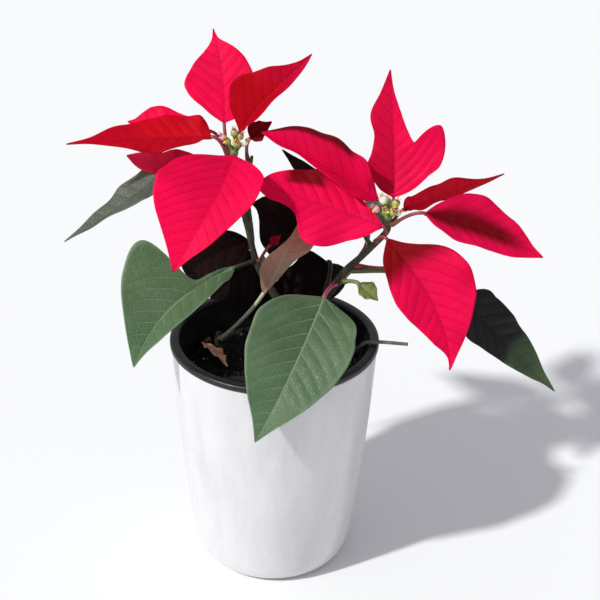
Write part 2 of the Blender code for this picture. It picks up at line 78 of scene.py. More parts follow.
# Stems as x, y, z and radius in millimetres, from the bottom up
STEMS = {
    "trunk": ((8, 10, 117, 4.4), (8, 10, 140, 4.2), (9, 10, 160, 3.8)),
    "left": (
        (8, 10, 148, 3.0), (3, 10, 166, 2.7), (-4.5, 12, 179, 2.4), (-11.5, 14, 193, 2.1),
        (-16, 13, 213, 1.8), (-20, 12, 230, 1.7), (-23, 11, 246, 1.7), (-24, 10, 257, 1.8),
        (-24, 10, 262, 2.0),
    ),
    "left_side": (
        (-13.5, 13.8, 200, 1.4), (-14, 14.5, 212, 1.2), (-16, 13.5, 233, 1.1),
        (-15, 14, 250, 1.0), (-14, 15, 260, 1.0),
    ),
    "right": (
        (10, 10, 148, 3.0), (25.5, 6, 168, 2.7), (35, 3, 183.5, 2.4), (41.5, 0, 195.5, 2.2),
        (49, -5, 206, 2.0), (55.5, -10, 216, 1.9), (62.5, -14.5, 227, 1.9),
        (63.5, -15, 232, 2.0), (63.5, -15, 236, 2.0),
    ),
    "shoot": ((-36, 27, 117, 2.0), (-36, 27, 128, 1.9), (-35, 27, 137, 1.7)),
}

BRANCHES = ("trunk", "left", "left_side", "right")

# Heights at which a lost leaf has left a scar
SCARS = {"trunk": (139, 146), "left": (170, 183), "right": (163, 180)}
SCAR_RADIUS = 1.2

# Cups of each bloom: the way from the stem's top to the cup's middle, its radius and its colour
CUPS = {
    "left": (
        (0, 0.5, 15, 2.1, "salmon"), (-7, -1, 12.5, 1.9, "pink"), (6, -2, 9, 2.1, "white"),
        (1.5, -4, 9, 2.2, "green"), (-3.5, -3, 10.5, 2.0, "green"), (4, -0.5, 13, 1.8, "salmon"),
        (-5, 2, 8.5, 1.8, "green"),
    ),
    "right": (
        (-3, 1, 11, 2.4, "white"), (-7.5, -1, 6, 2.0, "pink"), (3.5, 0, 9, 2.2, "amber"),
        (2, -4, 5.5, 2.4, "green"), (-2, -4.5, 6.5, 2.0, "green"), (5.5, -4.5, 5.5, 1.7, "white"),
        (0, 5, 8, 1.9, "green"),
    ),
}

FALLEN_PETIOLE = (
    (30, -6, 131.8, 1.3), (43, -7.5, 140, 1.2), (50.5, -8.3, 148.5, 1.1), (54.5, -8.7, 151.9, 1.1),
    (59, -9.2, 152.6, 1.1), (66, -9.7, 152.8, 1.1), (79, -11, 152.5, 1.0),
)

# Pots: the white one's outline as radius and height in millimetres
POT_STEPS = 144
CACHEPOT_OUTLINE = (
    (61.5, 145.5), (60.6, 128.0), (58.4, 98.0), (55.6, 68.0), (52.6, 40.0),
    (50.4, 22.0), (48.2, 10.0), (45.5, 4.0), (42.0, 1.0), (38.5, 0.0),
)
CACHEPOT_WALL = 3.5
CACHEPOT_HEIGHT = 147.0
SOIL_TOP = 129.0
SOIL_RADIUS = 52.2
SOIL_FOOT = 32.0
SOIL_FOOT_RADIUS = 40.4


@dataclass
class Blade:
    """One bract or leaf with its petiole. Lengths are millimetres and angles degrees."""

    name: str
    stem: str
    height: float
    base: tuple
    tip: tuple
    face: tuple
    left: tuple
    right: tuple
    bow: tuple = (0, 0, 0)
    face_tip: tuple = None
    fold: tuple = (12, 12)
    sweep: tuple = (0.2, 0.2)
    wave: float = 0.8
    petiole: float = 1.0
    kind: str = "bract"
    skin: str = ""
    start: tuple = None
    lobes: tuple = ()


LEAF = dict(kind="leaf", petiole=1.2)
BACK_LEAF = dict(
    face=(0, 0.2, 1), left=(12, 19, 22, 19, 14, 8, 3), right=(12, 19, 22, 19, 14, 8, 3),
    bow=(0, 0, 6), **LEAF)

BLADES = (
    # Left bloom
    Blade("left_bract_up", "left", 257, (-30, 20, 278), (-38, 58, 320.5), (0, -0.84, 0.65),
          left=(8, 17, 22, 20, 15.5, 8, 2.5), right=(13, 19, 19, 17, 14, 8, 1.5),
          bow=(1.5, 4, 1), face_tip=(-0.3, -0.7, 0.65), fold=(10, 0)),
    Blade("left_bract_upper_right", "left", 259, (-21, 16, 274.5), (19, 26, 317),
          (-0.12, -0.53, 0.53), left=(11, 19, 20.5, 17, 12, 6, 2), right=(3, 7, 8, 8, 9, 9, 5),
          bow=(-0.5, -5, 2.5), fold=(28, 42), skin="backlit"),
    Blade("left_bract_long", "left", 255, (-37, 8, 274), (-116, -6, 273.5), (0, -0.1, 0.85),
          left=(2, 4.5, 7.5, 10, 8.5, 3.5, 1), right=(10, 13, 13.5, 12.5, 10.5, 7.5, 3),
          bow=(7, 6, -1), face_tip=(0.3, -0.12, 0.85), fold=(-26, 35), sweep=(0.3, 0.1),
          skin="scarlet"),
    Blade("left_bract_front", "left", 253, (-24, 3, 264.5), (-54.5, -52, 218.5), (-0.07, -1.1, 0.8),
          left=(9, 21, 24, 21, 16, 10.5, 4.5), right=(17, 27, 33, 34, 31, 22, 11),
          bow=(5, -7.5, 8), fold=(20, 11)),
    Blade("left_bract_right", "left_side", 257, (-15, 19, 269), (-3, 22, 278), (0.1, -0.6, 0.8),
          left=(5, 7, 7, 6, 5, 3, 1.5), right=(5, 7, 7, 6, 5, 3, 1.5), fold=(25, 25), skin="dusk"),
    Blade("left_bract_behind", "left", 248, (-40, 22, 272), (-86, 30, 273.5), (0.1, -0.7, 0.86),
          left=(5, 6, 6, 8, 8.5, 6, 2), right=(6, 8.5, 11.5, 13, 12, 7, 3),
          bow=(-6, -3.5, 1), fold=(20, 5), sweep=(0.6, 0.3)),
    Blade("left_bract_under", "left", 246, (-41, 2, 260), (-83, -5, 267), (0.3, -0.7, 0.8),
          left=(5, 9, 10, 9, 8.5, 7.5, 5), right=(4, 7, 9, 8, 6, 4.5, 3.5), bow=(2, -4, -1),
          skin="maroon"),
    # Right bloom
    Blade("right_bract_up", "right", 230, (67, 2, 241.5), (63.5, 30, 307.5), (-0.12, -0.9, 0.65),
          left=(7, 12, 16, 13, 11, 12.5, 6), right=(13, 27, 31, 14.5, 8.6, 5, 1.5),
          bow=(1.5, 0.5, -8), face_tip=(-0.5, -0.7, 0.65), fold=(20, 7), sweep=(0.05, 0.4),
          lobes=((1, 0.315, 0.18, -3, 15),), skin="turned"),
    Blade("right_bract_small", "right", 233, (72.5, -11, 240), (129, 4, 256), (-0.5, -0.3, 0.8),
          left=(6, 6.5, 6.5, 8, 8, 4.5, 1), right=(5, 7, 7.5, 7, 6.5, 6, 3),
          bow=(-6, 0, -2), face_tip=(-1.1, -0.4, 0.8), fold=(24, 10), sweep=(0.3, -0.2),
          skin="halves"),
    Blade("right_bract_lower", "right", 233, (83.5, -24, 243.5), (148, -38, 224.5),
          (0.1, -0.5, 0.86), left=(8, 16, 19, 16, 11.5, 7, 2.5),
          right=(7, 11, 12.5, 12, 11, 9.5, 5), bow=(5, 3, 0), fold=(16, 0), skin="core"),
    Blade("right_bract_front", "right", 221, (63, -25, 227.5), (98, -66, 168), (0.05, -0.8, 0.53),
          left=(6, 21, 27.5, 25.5, 18, 10, 4), right=(10, 15.5, 19, 17.5, 13, 8, 1.5),
          bow=(9.5, -2.5, -1.5), face_tip=(0.15, -0.8, 0.53), fold=(12, 10), skin="footed"),
    Blade("right_bract_long", "right", 234, (57.5, -7, 244), (-8.5, 8, 277), (0.27, -0.39, 0.8),
          left=(9.5, 15, 13, 8, 5, 5, 3.5), right=(6, 15, 17, 17.5, 16, 12, 6),
          bow=(-3, 0, 3.5), face_tip=(-0.24, -0.28, 0.8), fold=(26, 64), skin="margin"),
    Blade("right_bract_left", "right", 228, (60, -20, 233.5), (-11.5, -10, 252.5),
          (0.37, -0.82, 0.84), left=(11, 20, 25, 21, 10, 6, 5), right=(5, 13, 18, 19, 17, 13, 9),
          bow=(-2, 4.5, 0), face_tip=(0.3, -0.6, 0.84), fold=(-11, 10), sweep=(0.5, 0.6),
          skin="crossed"),
    # Green leaves that show
    Blade("leaf_far_left", "left", 240, (-66, 14, 251), (-121.5, -2, 211.5), (0, -0.3, 0.95),
          left=(10, 13, 12.5, 8, 5, 3.5, 1.5), right=(8, 9, 10.5, 10, 8, 5.5, 3),
          bow=(5, 1, 0.5), face_tip=(-0.16, -0.2, 0.95), fold=(15, 13), sweep=(0.4, 0),
          skin="greyed", **LEAF),
    Blade("leaf_left", "left", 194, (-24.5, 6, 192.5), (-79.5, -42, 152), (0.1, -0.94, 0.81),
          left=(6.5, 11, 15.5, 16.5, 15.5, 11.5, 5.5), right=(2, 3, 7, 40, 35, 19, 8),
          bow=(-7.5, 2, 4.5), face_tip=(-0.1, -1, 0.81), fold=(42, 13), sweep=(0.05, -0.45),
          skin="strip", **LEAF),
    Blade("leaf_front", "right", 186, (28.5, -18, 186.5), (-9, -76, 125), (0, -1.06, 0.57),
          left=(20, 27, 28.5, 25, 19, 11.5, 5), right=(20, 31, 32.5, 30, 24, 15.5, 7),
          bow=(0.5, -10, 2), fold=(19, 12), **LEAF),
    Blade("leaf_right", "right", 197, (106.5, -16, 188), (166.5, -20, 127.5), (-0.15, -0.45, 0.64),
          left=(13, 15.5, 15.5, 14, 11.5, 7.5, 3.5), right=(14, 17.5, 15.5, 13, 9.5, 6, 2),
          bow=(0, -4.5, 0.5), fold=(6, 26), skin="shaded", **LEAF),
    Blade("leaf_olive", "shoot", 134, (-6.5, 2, 178.5), (13, 8, 220.5), (-0.1, -0.88, 0.47),
          left=(3.8, 7.2, 9.1, 8.3, 5.2, 2.3, 1), right=(1.5, 2.5, 4.2, 5.6, 8.5, 13, 12),
          bow=(1.2, -6.8, 3.6), fold=(10, 12), sweep=(0, 0), skin="olive", **LEAF),
    # Leaves in the shade
    Blade("leaf_shade_centre", "left", 222, (-13.5, 28, 224.5), (10, 33, 197.5), (0.34, -0.67, 0.71),
          left=(11, 13, 14, 15, 14.5, 9.5, 5), right=(3, 14, 19, 20, 18, 12, 6),
          bow=(5.5, -0.5, -2.5), face_tip=(0, -1, 0.71), fold=(13, 8), sweep=(0.6, 0.2),
          skin="night", **LEAF),
    Blade("leaf_shade_left", "left", 207, (-16, 24, 201), (-52, 18, 179), (-0.05, -1.04, 0.56),
          left=(10, 16.5, 17.5, 17, 15, 13, 10), right=(8, 14.5, 17.5, 17.5, 14, 9, 5.5),
          bow=(-8, -5, 2), face_tip=(-0.44, -0.96, 0.56), fold=(18, 16), sweep=(0.1, 0.4),
          skin="night", **LEAF),
    Blade("leaf_shade_upper", "right", 214, (42, 18, 222), (3, 27, 259), (0, -0.6, 0.8),
          left=(5, 8, 9, 8, 6, 4, 2), right=(5, 8, 9, 8, 6, 4, 2), skin="night", **LEAF),
    Blade("leaf_shade_lower", "right", 176, (30.5, 24, 188), (-7.5, 32, 159), (0, -0.64, 0.7),
          left=(11, 16, 17, 13, 8.5, 6, 5), right=(13, 13, 11.5, 10.5, 8, 6, 4),
          bow=(-4, 1, -6.5), fold=(3, 7), skin="night", **LEAF),
    Blade("leaf_small_right", "right", 190, (49, -7, 190), (60, -14, 183), (0.1, -0.5, 0.85),
          left=(3, 5, 6, 6, 5, 3, 1.5), right=(3, 5, 6, 6, 5, 3, 1.5), skin="young", **LEAF),
    Blade("leaf_young_red", "left", 194, (-3, 10, 206), (3, 12, 211.5), (0, -0.8, 0.6),
          left=(1, 2.2, 3, 2.8, 2, 1.1, 0.3), right=(1, 2.2, 3, 2.8, 2, 1.1, 0.3), petiole=0.9,
          skin="maroon"),
    # Leaves on the side away from the photo
    Blade("leaf_back_left_upper", "left", 226, (-34, 32, 226), (-66, 82, 212), **BACK_LEAF),
    Blade("leaf_back_right_upper", "right", 206, (54, 16, 212), (46, 82, 200), **BACK_LEAF),
    Blade("leaf_back_right", "right", 200, (76, 14, 192), (122, 54, 168), **BACK_LEAF),
    Blade("leaf_back", "right", 184, (43, 30, 179.5), (25, 42, 152.5), (0, -1.1, 0.8),
          left=(7, 10, 11, 10, 9, 7, 5), right=(6, 9, 11, 11, 9, 6, 3), bow=(-5, 0.5, 0),
          skin="deep", **LEAF),
    Blade("leaf_back_left", "left", 188, (-10, 34, 184), (-41, 42, 152), (0.1, -0.8, 0.7),
          left=(10.5, 15.5, 18, 17, 13.5, 8.5, 4), right=(12.5, 15.5, 16, 14, 11.5, 8, 4.5),
          fold=(3, 9), skin="night", **LEAF),
    # Dried leaf that lies on the soil
    Blade("dried_leaf", "", 0, (-43, 19, 133.2), (-28, -4, 130.5), (0.2, 0, 1),
          left=(4, 6, 7, 6, 5, 3, 1.5), right=(4, 5, 6, 6, 4, 3, 1.5), bow=(0, 0, 1.5),
          fold=(-10, 25), wave=1.2, kind="dried", start=(-41, 26, 132.7)),
)


# Where each blade lies

def unit(rows):
    return rows / np.linalg.norm(rows, axis=-1, keepdims=True)


def arc(start, middle, end, s):
    """Points and directions of the quadratic curve that passes near the middle."""
    s = s[:, None]
    points = (1 - s) ** 2 * start + 2 * s * (1 - s) * middle + s ** 2 * end
    return points, unit(2 * (1 - s) * (middle - start) + 2 * s * (end - middle))


def stem_axis(name, height):
    """Point, radius and direction of the stem's axis at a height."""
    points = np.array(STEMS[name], float)
    order = points[:, 2]
    at = np.array([np.interp(height, order, points[:, k]) for k in range(4)])
    i = int(np.clip(np.searchsorted(order, height) - 1, 0, len(points) - 2))
    return at[:3], at[3], unit(points[i + 1, :3] - points[i, :3])


def petiole_bend(blade, start):
    """Control point that lets the petiole run into the midrib without a corner."""
    base, tip, bow = (np.array(v, float) for v in (blade.base, blade.tip, blade.bow))
    reach = np.linalg.norm(base - start) * PETIOLE_BEND
    return base - unit((tip - base) / 2 + 2 * bow) * reach


def stalk_point(blade):
    """Where the petiole meets the stem's skin."""
    if blade.start:
        return np.array(blade.start, float)
    centre, radius, along = stem_axis(blade.stem, blade.height)
    lead = unit(petiole_bend(blade, centre) - centre)
    spoke = unit(lead - (lead @ along) * along)
    side = unit(np.cross(lead, np.array(blade.face, float)))
    up = np.cross(side, lead)
    corner = abs(spoke @ side) * blade.petiole + abs(spoke @ up) * PETIOLE_THICK / 2
    return centre + spoke * (radius + CONTACT_GAP + corner)


def midrib(blade, s):
    """Points and directions along the petiole, where s is below 0, and the midrib."""
    base, tip, bow = (np.array(v, float) for v in (blade.base, blade.tip, blade.bow))
    middle = (base + tip) / 2 + 2 * bow
    points, along = arc(base, middle, tip, np.maximum(s, 0.0))
    stalk = stalk_point(blade)
    petiole, leads = arc(stalk, petiole_bend(blade, stalk), base, np.minimum(s, 0.0) + 1)
    on_petiole = (s < 0)[:, None]
    return np.where(on_petiole, petiole, points), np.where(on_petiole, leads, along)


def half_width(blade, side, s):
    """Half width on one side, smooth between the stations."""
    given = blade.right if side > 0 else blade.left
    at = np.array((0.0,) + STATIONS + (1.0,))
    width = np.array((blade.petiole,) + tuple(given) + (TIP_HALF_WIDTH,), float)
    slope = np.gradient(width, at)
    slope[0] = (width[1] - width[0]) / (at[1] - at[0])
    slope[-1] = (width[-1] - width[-2]) / (at[-1] - at[-2])
    s = np.clip(s, 0, 1)
    i = np.clip(np.searchsorted(at, s, side="right") - 1, 0, len(at) - 2)
    step = at[i + 1] - at[i]
    u = (s - at[i]) / step
    smooth = (
        (2 * u ** 3 - 3 * u ** 2 + 1) * width[i]
        + (u ** 3 - 2 * u ** 2 + u) * step * slope[i]
        + (3 * u ** 2 - 2 * u ** 3) * width[i + 1]
        + (u ** 3 - u ** 2) * step * slope[i + 1]
    )
    return np.maximum(smooth, TIP_HALF_WIDTH)


def blade_length(blade):
    """Length of the midrib in millimetres."""
    points, _ = midrib(blade, np.linspace(0, 1, 60))
    return float(np.linalg.norm(np.diff(points, axis=0), axis=1).sum())


def vein_phase(kind, along, reach):
    """Whole numbers lie on a side vein; it leaves the midrib and arches forward."""
    lead = reach * VEIN_LEAN[kind] + reach ** 2 * VEIN_BEND[kind]
    return (along - lead) / VEIN_SPACING[kind]


def blade_surface(blade, s, t):
    """Points of the blade's middle surface in metres, and its map in millimetres.

    Here s runs from the petiole to the tip and t from the left edge at -1 to the right at 1.
    """
    spine, along = midrib(blade, s)
    face = np.array(blade.face, float)
    face_tip = np.array(blade.face_tip or blade.face, float)
    share = np.clip(s, 0, 1)[:, None]
    hint = unit(face) * (1 - share) + unit(face_tip) * share
    side = unit(np.cross(along, hint))
    up = np.cross(side, along)
    right = t > 0
    width = np.where(right, half_width(blade, 1, s), half_width(blade, -1, s))
    seed = sum(map(ord, blade.name)) * 0.7
    nibble = np.sin(23 * s + seed) * 0.5 + np.sin(41 * s + 2 * seed + right) * 0.35
    width = width * (1 + 0.012 * nibble * np.sin(np.pi * np.clip(s, 0, 1)))
    reach = width * np.abs(t)
    opened = np.clip(s / 0.1, 0, 1)
    fold = np.where(right, blade.fold[1], blade.fold[0])
    angle = np.radians(fold) * opened
    ripple = np.sin(2 * math.pi * WAVES * s + np.where(right, 0, 2.0))
    lift = reach * np.sin(angle) + blade.wave * ripple * t ** 2 * opened * (1 - share[:, 0] ** 4)
    out = reach * np.cos(angle) * np.sign(t)
    sweep = np.where(right, blade.sweep[1], blade.sweep[0])
    ahead = sweep * reach * opened * (1 - share[:, 0])
    for sign, at, span, outward, forward in blade.lobes:
        bump = np.clip(1 - ((s - at) / span) ** 2, 0, 1) ** 2 * np.clip(t * sign, 0, 1) ** 2
        out = out + bump * outward * sign
        ahead = ahead + bump * forward
    run = s * blade_length(blade) + ahead
    phase = vein_phase(blade.kind, run, reach) + np.where(right, 0.5, 0.0)
    between = np.abs(np.sin(np.pi * phase)) ** 0.8
    room = np.clip(width / 14, 0, 1) * opened * (1 - share[:, 0] ** 3)
    inner = np.clip(np.abs(t) * 5, 0, 1) * np.clip((1 - np.abs(t)) * 4, 0, 1)
    flutter = np.sin(2 * math.pi * (run / FLUTTER_LENGTH) + seed + 2 * right) * np.abs(t) ** 4
    lift = lift + room * (PUFF[blade.kind] * (between - 0.6) * inner + 0.45 * flutter)
    lift = lift - 0.5 * np.exp(-(reach / 1.1) ** 2) * opened * (1 - share[:, 0])
    points = spine + side * out[:, None] + up * lift[:, None] + along * ahead[:, None]
    return points * MM, np.stack([run, reach * np.sign(t)], -1)


# Meshes

def object_from(bm, name, materials):
    """A smooth-shaded object of the mesh being built."""
    mesh = bpy.data.meshes.new(name)
    bm.to_mesh(mesh)
    bm.free()
    for material in materials:
        mesh.materials.append(material)
    mesh.polygons.foreach_set("use_smooth", [True] * len(mesh.polygons))
    obj = bpy.data.objects.new(name, mesh)
    bpy.context.scene.collection.objects.link(obj)
    return obj


def apply_modifiers(obj):
    """Keeps what the modifiers make as the object's own mesh."""
    bpy.context.view_layer.update()
    graph = bpy.context.evaluated_depsgraph_get()
    mesh = bpy.data.meshes.new_from_object(obj.evaluated_get(graph))
    obj.modifiers.clear()
    obj.data = mesh


def place(obj, node_names):
    """Puts a finished piece on the part in place of its CAD nodes."""
    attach(obj, "root")
    if node_names:
        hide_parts(*node_names)


def blade_maps(bm):
    """The maps of lengths along and across and of their shares, made if they're missing."""
    layers = bm.loops.layers.uv
    return [layers.get(name) or layers.new(name) for name in ("blade", "share")]


def extruded(bm, edges):
    """Corners, far edges and faces that an extrusion adds."""
    made = bmesh.ops.extrude_edge_only(bm, edges=edges)["geom"]
    verts = [g for g in made if isinstance(g, bmesh.types.BMVert)]
    faces = [g for g in made if isinstance(g, bmesh.types.BMFace)]
    new_edges = [g for g in made if isinstance(g, bmesh.types.BMEdge)]
    return verts, [e for e in new_edges if all(v in verts for v in e.verts)], faces


def spun(bm, outline, steps, merge):
    """Faces of an outline of radius and height, spun round the upright axis with its seam closed."""
    before = set(bm.faces)
    verts = [bm.verts.new((r, 0.0, z)) for r, z in outline]
    edges = [bm.edges.new(pair) for pair in zip(verts, verts[1:])]
    bmesh.ops.spin(
        bm, geom=verts + edges, cent=(0, 0, 0), axis=(0, 0, 1), angle=2 * math.pi, steps=steps,
        use_merge=True)
    own = {v for f in bm.faces if f not in before for v in f.verts}
    bmesh.ops.remove_doubles(bm, verts=list(own), dist=merge)
    faces = [f for f in bm.faces if f not in before]
    bmesh.ops.recalc_face_normals(bm, faces=faces)
    return faces


def ring_turns(points):
    """A turn for each point of a path, carried along so that no ring twists."""
    heading = [(b - a).normalized() for a, b in zip(points, points[1:])]
    between = [(a + b).normalized() for a, b in zip(heading, heading[1:])]
    leads = [heading[0]] + between + [heading[-1]]
    turn = Vector((0, 0, 1)).rotation_difference(leads[0])
    turns = [turn]
    for a, b in zip(leads, leads[1:]):
        turn = a.rotation_difference(b) @ turn
        turns.append(turn)
    return turns


def add_tube(bm, path, sides=10, material=0):
    """A circle extruded from point to point of a path of (point, radius) in millimetres."""
    points = [Vector(p) * MM for p, _ in path]
    turns = ring_turns(points)
    places = [
        Matrix.Translation(p) @ q.to_matrix().to_4x4() @ Matrix.Scale(r * MM, 4)
        for p, q, (_, r) in zip(points, turns, path)
    ]
    blade_map, share_map = blade_maps(bm)
    first = bmesh.ops.create_circle(bm, cap_ends=True, segments=sides, radius=1.0, matrix=places[0])
    verts = first["verts"]
    cap = verts[0].link_faces[0]
    cap.normal_flip()
    faces = [cap]
    reached = {v: 0 for v in verts}
    edges = list(cap.edges)
    for k in range(1, len(places)):
        verts, edges, walls = extruded(bm, edges)
        faces += walls
        bmesh.ops.transform(bm, matrix=places[k] @ places[k - 1].inverted(), verts=verts)
        reached.update({v: k for v in verts})
    faces += bmesh.ops.edgeloop_fill(bm, edges=edges)["faces"]
    bmesh.ops.recalc_face_normals(bm, faces=faces)
    runs = [0.0]
    for a, b in zip(points, points[1:]):
        runs.append(runs[-1] + (b - a).length / MM)
    for face in faces:
        face.material_index = material
        face.smooth = True
        for loop in face.loops:
            k = reached[loop.vert]
            loop[blade_map].uv = (runs[k] / MAP_UNIT, 0.0)
            loop[share_map].uv = (k / (len(places) - 1), 0.0)


def blade_rows(blade):
    """Rows along and columns across that give cells of one to one and a half millimetres."""
    widest = max(blade.left + blade.right)
    rows = int(np.clip(blade_length(blade) / ROW_STEP, 24, 96))
    columns = 2 * int(np.clip(widest / COLUMN_STEP, 6, 22))
    return rows, columns


def grow_blade(blade, skins):
    """A grid laid along the midrib and thickened, with its petiole and midrib under it."""
    rows, columns = blade_rows(blade)
    bm = bmesh.new()
    bmesh.ops.create_grid(bm, x_segments=columns, y_segments=rows, size=1.0)
    verts = list(bm.verts)
    s = np.array([(v.co.y + 1) / 2 for v in verts])
    t = np.array([v.co.x for v in verts])
    points, flat = blade_surface(blade, s, t)
    for vert, point in zip(verts, points):
        vert.co = point
    blade_map, share_map = blade_maps(bm)
    for face in bm.faces:
        for loop in face.loops:
            k = loop.vert.index
            loop[blade_map].uv = flat[k] / MAP_UNIT
            loop[share_map].uv = (s[k], abs(t[k]))
    obj = object_from(bm, blade.name + "_blade", skins)
    thickness = obj.vertex_groups.new(name="thickness")
    for k in range(len(s)):
        thickness.add([k], 0.5 + 0.5 * math.exp(-(flat[k][1] / 2.5) ** 2) * (1 - s[k]), "REPLACE")
    solid = obj.modifiers.new("thickness", "SOLIDIFY")
    solid.thickness = BLADE_THICK * MM
    solid.offset = 0.0
    solid.vertex_group = thickness.name
    solid.material_offset = 1
    solid.material_offset_rim = 0
    apply_modifiers(obj)
    bm = bmesh.new()
    bm.from_mesh(obj.data)
    add_tube(bm, petiole_path(blade), sides=10, material=2)
    bm.to_mesh(obj.data)
    bm.free()
    place(obj, [blade.name])


def petiole_path(blade):
    """From inside the stem's skin along the petiole, then tapering under the midrib."""
    s = np.concatenate([np.linspace(-1, -0.04, 16), np.linspace(0, 0.9, 26)])
    points, along = midrib(blade, s)
    up = np.cross(unit(np.cross(along, np.array(blade.face, float))), along)
    path = []
    stalk = stalk_point(blade)
    if not blade.start:
        centre = stem_axis(blade.stem, blade.height)[0]
        path.append((stalk + unit(centre - stalk) * PETIOLE_ROOT, blade.petiole * 1.5))
    for k, share in enumerate(s):
        if share < 0:
            swell = 1 + 0.45 * math.exp(-((share + 1) * 7) ** 2)
            path.append((points[k], blade.petiole * swell))
        else:
            spare = blade.petiole - MIDRIB_END_RADIUS
            radius = MIDRIB_END_RADIUS + spare * (1 - share) ** 1.6
            path.append((points[k] - up[k] * (radius - 0.1 + 0.35 * min(share * 8, 1)), radius))
    return path


# Colour and nodes

def linear(code):
    """An sRGB hex colour as the linear colour that a shader takes."""
    parts = [int(code[i:i + 2], 16) / 255 for i in (1, 3, 5)]
    return tuple(c / 12.92 if c <= 0.04045 else ((c + 0.055) / 1.055) ** 2.4 for c in parts) + (1.0,)


def feed(tree, node, inputs):
    """Links the inputs that are given a socket and sets the others. A text is a hex colour."""
    for key, value in inputs.items():
        if isinstance(value, bpy.types.NodeSocket):
            tree.links.new(value, node.inputs[key])
        else:
            node.inputs[key].default_value = linear(value) if isinstance(value, str) else value


def add(tree, kind, inputs=None, **settings):
    """Adds a node, sets its settings, and sets or links its inputs."""
    made = tree.nodes.new(kind)
    for key, value in settings.items():
        setattr(made, key, value)
    feed(tree, made, inputs or {})
    return made


def start_material(name):
    """A new material, its node tree and its Principled shader."""
    material = bpy.data.materials.new(name)
    material.use_nodes = True
    tree = material.node_tree
    return material, tree, tree.nodes["Principled BSDF"]


def maths(tree, operation, a, b=0.0):
    return add(tree, "ShaderNodeMath", {0: a, 1: b}, operation=operation).outputs[0]


def times(tree, a, b):
    return maths(tree, "MULTIPLY", a, b)


def mixed(tree, share, a, b):
    return add(tree, "ShaderNodeMix", {0: share, 6: a, 7: b}, data_type="RGBA").outputs[2]


def ramped(tree, value, low, high, start=0.0, end=1.0):
    """Goes smoothly from start to end while the value goes from low to high."""
    made = add(tree, "ShaderNodeMapRange", {0: value, 1: low, 2: high, 3: start, 4: end},
               interpolation_type="SMOOTHSTEP")
    return made.outputs[0]


def in_space(tree, squeeze=None):
    """Object coordinates in metres, squeezed along the height where a pattern is drawn out."""
    place_on = add(tree, "ShaderNodeTexCoord").outputs["Object"]
    if squeeze:
        place_on = add(tree, "ShaderNodeMapping", {0: place_on, 3: (1.0, 1.0, squeeze)}).outputs[0]
    return place_on


def on_map(tree, name):
    """A blade's map, whole and as its two values."""
    whole = add(tree, "ShaderNodeUVMap", uv_map=name).outputs[0]
    parts = add(tree, "ShaderNodeSeparateXYZ", {0: whole}).outputs
    return whole, parts[0], parts[1]


def speckle(tree, per_metre, detail=3.0, rough=0.55, distortion=0.0, squeeze=None):
    """Noise on the object whose features are about 1 / per_metre metres apart."""
    made = add(tree, "ShaderNodeTexNoise", {
        "Vector": in_space(tree, squeeze), "Scale": per_metre, "Detail": detail,
        "Roughness": rough, "Distortion": distortion})
    return made.outputs["Fac"]


def mottled(tree, noise_value, light, dark):
    """Light where the noise is low and dark where it's high."""
    return mixed(tree, ramped(tree, noise_value, 0.35, 0.65), light, dark)


def bumped(tree, height, distance, under=None):
    """A bump whose height of 1 stands for a distance in metres, over another bump if given."""
    inputs = {"Height": height, "Distance": distance}
    if under:
        inputs["Normal"] = under
    return add(tree, "ShaderNodeBump", inputs).outputs[0]


def vein_masks(tree, kind, width):
    """Masks of the side veins, the midrib and the fine net between, from the blade's map.

    With them come the shares along the blade and towards its edge, and the signed reach.
    """
    flat, run, out = on_map(tree, "blade")
    along = times(tree, run, MAP_UNIT)
    across = times(tree, out, MAP_UNIT)
    reach = maths(tree, "ABSOLUTE", across)
    lean = times(tree, reach, VEIN_LEAN[kind])
    bend = times(tree, times(tree, reach, reach), VEIN_BEND[kind])
    lead = maths(tree, "SUBTRACT", maths(tree, "SUBTRACT", along, lean), bend)
    phase = maths(tree, "DIVIDE", lead, VEIN_SPACING[kind])
    offset = times(tree, maths(tree, "GREATER_THAN", across, 0.0), 0.5)
    shifted = maths(tree, "ADD", phase, offset)
    away = times(tree, maths(tree, "PINGPONG", shifted, 0.5), VEIN_SPACING[kind])
    _, rowed, edge = on_map(tree, "share")
    thin = ramped(tree, edge, 0.2, 1.0, width, 0.35 * width)
    side = ramped(tree, maths(tree, "DIVIDE", away, thin), 0.2, 1.0, 1.0, 0.0)
    side = times(tree, side, ramped(tree, edge, 0.8, 1.0, 1.0, 0.0))
    ribbed = ramped(tree, rowed, 0.0, 1.0, 1.4 * width, 0.35 * width)
    rib = ramped(tree, maths(tree, "DIVIDE", reach, ribbed), 0.4, 1.0, 1.0, 0.0)
    net = add(tree, "ShaderNodeTexVoronoi", {"Vector": flat, "Scale": MAP_UNIT / NET_CELL},
              feature="DISTANCE_TO_EDGE")
    fine = ramped(tree, net.outputs["Distance"], 0.0, 0.12, 1.0, 0.0)
    return side, rib, fine, rowed, edge, across


def through_light(tree, shader, sap, share):
    """Lets part of the light through a thin blade, tinted by its sap."""
    glow = add(tree, "ShaderNodeBsdfTranslucent", {"Color": sap})
    both = add(tree, "ShaderNodeMixShader", {0: share, 1: shader.outputs[0], 2: glow.outputs[0]})
    feed(tree, tree.nodes["Material Output"], {"Surface": both.outputs[0]})


# Materials

